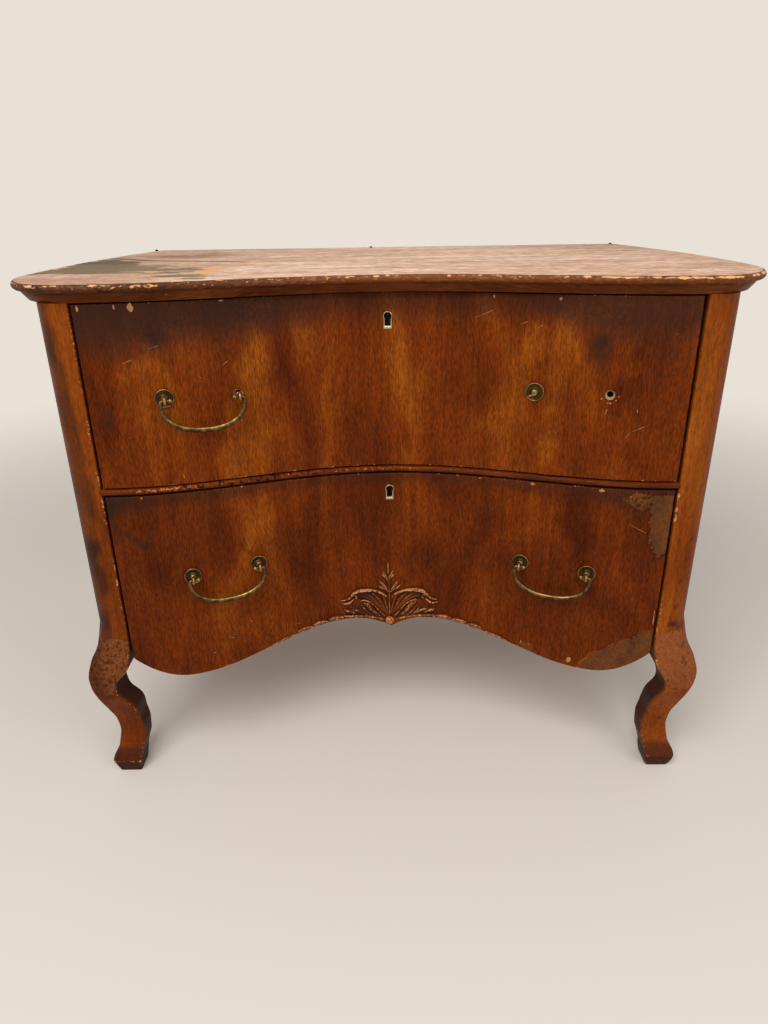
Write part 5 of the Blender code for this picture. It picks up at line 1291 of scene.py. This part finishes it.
# leaves of a spray in millimetres: start, stop, rise, half width, height; then their shapes along them
sprayLeaves = ((66, 95, 5.6, 5.0, 7.0), (94, 119, 5.0, 4.5, 6.4), (118, 141, 4.4, 4.1, 5.8),
               (140, 180, 2.4, 2.1, 4.2))
sprayShapes = {"rise": (0.45, 0.8, 1.05, 1.15, 1.1), "half": (0.12, 0.8, 1, 0.85, 0.15),
               "tall": (0.25, 0.7, 1, 1, 0.5)}


def spray(hand):
    # lens leaves that follow the arch's edge one behind the other
    shells = []
    for start, stop, rise, half, tall in sprayLeaves:
        x = hand * np.linspace(start, stop, 5) + carveSizes["axis"]
        edge = (apron(x / 1000) - carveSizes["tipHeight"]) * 1000
        knots = np.stack([x, edge + np.multiply(sprayShapes["rise"], rise)], -1)
        halves, heights = np.multiply(sprayShapes["half"], half), np.multiply(sprayShapes["tall"], tall)
        shells.append(leaf(knots, halves, heights, 0.4, 0.85, 0.28, 36))
    return shells


for word, hand in hands.items():
    makePiece("carvingSpray." + word, spray(hand), carvedWood, "lower_drawer",
              "carving_spray_" + word, sharp=70)
print("carving made")

# Scratches and chips that show bare wood, thin slivers on the drawers' faces; all in millimetres

# both ends, width
scratches = {
    "upper": ((-330, 645, -317, 650, 0.9), (-211, 636, -205, 641, 1), (-275, 495, -274, 489, 1.2),
              (111, 685, 137, 697, 0.7), (168, 679, 178, 684, 0.7), (190, 676, 196, 680, 0.9),
              (278, 569, 280, 577, 1), (316, 578, 317, 573, 1.4), (313, 548, 329, 556, 1),
              (300, 532, 312, 547, 0.5), (-297, 662, -283, 666, 0.5), (-240, 622, -239, 622.5, 1.2),
              (101, 560, 100.5, 561, 1.2), (-335, 550, -334, 549, 1.2), (351, 672, 352, 672.5, 1.2)),
    "lower": ((324, 418, 350, 404, 0.7), (-211, 260, -208, 249, 1), (-147, 233, -138, 234, 0.7),
              (-243, 232, -233, 228, 0.8), (-267, 208, -262, 209, 0.9), (376, 284, 376.5, 258, 1.8)),
}
# middle, half-sizes
chips = {
    "upper": ((-310, 712.5, 3.6, 4.6), (-372, 713, 1.6, 3.4), (214, 712.5, 1.8, 2.4), (135, 713, 1.2, 2.2),
              (-206, 715.5, 3, 0.9), (-329, 713.5, 1, 2.8)),
    "lower": ((197, 464.8, 3, 1.6), (285, 464.5, 3.8, 2.2), (-332, 465, 1.6, 1.4), (265, 188.5, 3.4, 5),
              (127, 466, 1.6, 0.8)),
}
# lift over the face: round the scratch's section, and from the chip's middle over its rim to its back
markLifts = {"scratch": (0, 0.12, 0, -0.3), "chip": (0.15, 0.15, 0.12, -0.05, -0.3, -0.3)}


def onMark(x, z, lift):
    # place on the face from the marks' millimetres
    return onFace(x / 1000, z / 1000, lift / 1000)


def scratch(x0, z0, x1, z1, width):
    # lens-shaped sliver between two points of the face
    t = np.linspace(0, 1, 14)[:, None]
    run, rise = x1 - x0, z1 - z0
    length = math.hypot(run, rise)
    half = width / 2 * np.sqrt(np.clip(1 - (2 * t - 1) ** 2, 0, 1)) * (0.7 + 0.3 * np.cos(9 * t))
    side = np.array((-1, 0, 1, 0)) * half
    lift = np.array(markLifts["scratch"])
    spot = onMark(x0 + run * t - rise / length * side, z0 + rise * t + run / length * side, lift)
    return gridShell(spot, closeV=True, capU=True)


def chip(x, z, halfX, halfZ, seed):
    # flat flake with a ragged outline
    across, up = np.cos(fullTurn(24)), np.sin(fullTurn(24))
    ragged = 1 + 0.35 * valueNoise(across * 3, up * 3, seed, 1.7, seed)
    share = np.array((0, 0.5, 0.85, 1, 1, 0))[:, None] * ragged
    lift = np.array(markLifts["chip"])[:, None]
    return gridShell(onMark(x + share * halfX * across, z + share * halfZ * up, lift), closeV=True)


for word in fronts:
    shells = [scratch(*row) for row in scratches[word]]
    shells += [chip(*row, 7 * i + 3) for i, row in enumerate(chips[word])]
    makePiece("marks." + word, shells, chipWood, word + "_drawer", sharp=60)
print("marks made")

# Nails that stand out of the top's back edge

nailSizes = {"places": (-0.418, -0.028, 0.405), "depth": 0.5105, "radius": 0.0028, "rise": 0.0022}


def nail(x):
    # ball flattened into a low head
    n = nailSizes
    across, back, up = ballGrid(12, 20)
    return gridShell(pointGrid(x + n["radius"] * across, n["depth"] + n["radius"] * back,
                               topSizes["high"] + n["rise"] * up), closeV=True)


makePiece("topNails", [nail(x) for x in nailSizes["places"]], steel, "case")
print("nails made")

# Floor, light and camera

studio = {"floorHalf": 12, "paper": "#d9d0c5", "backdrop": "#e9e1d6", "glow": 0.48, "fadeFrom": 0.9,
          "fadeTo": 2.6}
half = studio["floorHalf"]
floorMesh = bpy.data.meshes.new("studioFloor")
floorMesh.from_pydata([(-half, -half, 0), (half, -half, 0), (half, half, 0), (-half, half, 0)], [],
                      [(0, 1, 2, 3)])
floor = addObject("studioFloor", floorMesh)
# matte paper that thins out into the backdrop with distance
paper, sheet, matte, place = startMaterial("matteStudioPaper")
matte.inputs["Base Color"].default_value = linear(studio["paper"])
matte.inputs["Roughness"].default_value = 0.9
matte.inputs["Specular IOR Level"].default_value = 0.1
spread = addNode(sheet, "VectorMath", {0: place}, operation="LENGTH")
fade = addNode(sheet, "MapRange", {0: spread.outputs["Value"], 1: studio["fadeFrom"], 2: studio["fadeTo"]},
               interpolation_type="SMOOTHSTEP")
clear = addNode(sheet, "BsdfTransparent")
merge = addNode(sheet, "MixShader", {0: fade.outputs[0], 1: matte.outputs[0], 2: clear.outputs[0]})
sheet.links.new(merge.outputs[0], sheet.nodes["Material Output"].inputs[0])
floorMesh.materials.append(paper)

scene.view_settings.view_transform = "Standard"
world = bpy.data.worlds.new("softStudio")
scene.world = world
world.use_nodes = True
sky = world.node_tree
sky.nodes.clear()
glow = addNode(sky, "Background", {"Color": linear("#ffffff"), "Strength": studio["glow"]})
shown = addNode(sky, "Background", {"Color": linear(studio["backdrop"]), "Strength": 1.0})
# the camera, gloss and clear rays see the pale backdrop
rays = addNode(sky, "LightPath").outputs
seen = addNode(sky, "Math", {0: rays["Is Camera Ray"], 1: rays["Is Glossy Ray"]}, operation="MAXIMUM")
seen = addNode(sky, "Math", {0: seen.outputs[0], 1: rays["Is Transmission Ray"]}, operation="MAXIMUM")
both = addNode(sky, "MixShader", {0: seen.outputs[0], 1: glow.outputs[0], 2: shown.outputs[0]})
addNode(sky, "OutputWorld", {0: both.outputs[0]})

# name, place, turn, size and power of each panel
panels = (("keyPanel", (-0.7, -1.9, 2.5), (0.72, 0.0, -0.34), 1.8, 64.0),
          ("fillPanel", (1.6, -2.0, 1.5), (1.05, 0.0, 0.67), 1.6, 19.0))
for name, spot, turn, size, power in panels:
    lamp = bpy.data.lights.new(name, "AREA")
    lamp.size = size
    lamp.energy = power
    panel = addObject(name, lamp)
    panel.location = spot
    panel.rotation_euler = turn

# camera fitted to the photograph
view = bpy.data.cameras.new("photoCamera")
view.lens = 25.71
view.sensor_width = 36.0
view.sensor_fit = "AUTO"
camera = addObject("photoCamera", view)
camera.matrix_world = Matrix((
    (0.9999, 0.01243, 0.00693, -0.0012),
    (0.00131, 0.40419, -0.91467, -1.14765),
    (-0.01417, 0.91459, 0.40414, 0.839),
    (0.0, 0.0, 0.0, 1.0),
))
scene.camera = camera
print("floor, light and camera made")
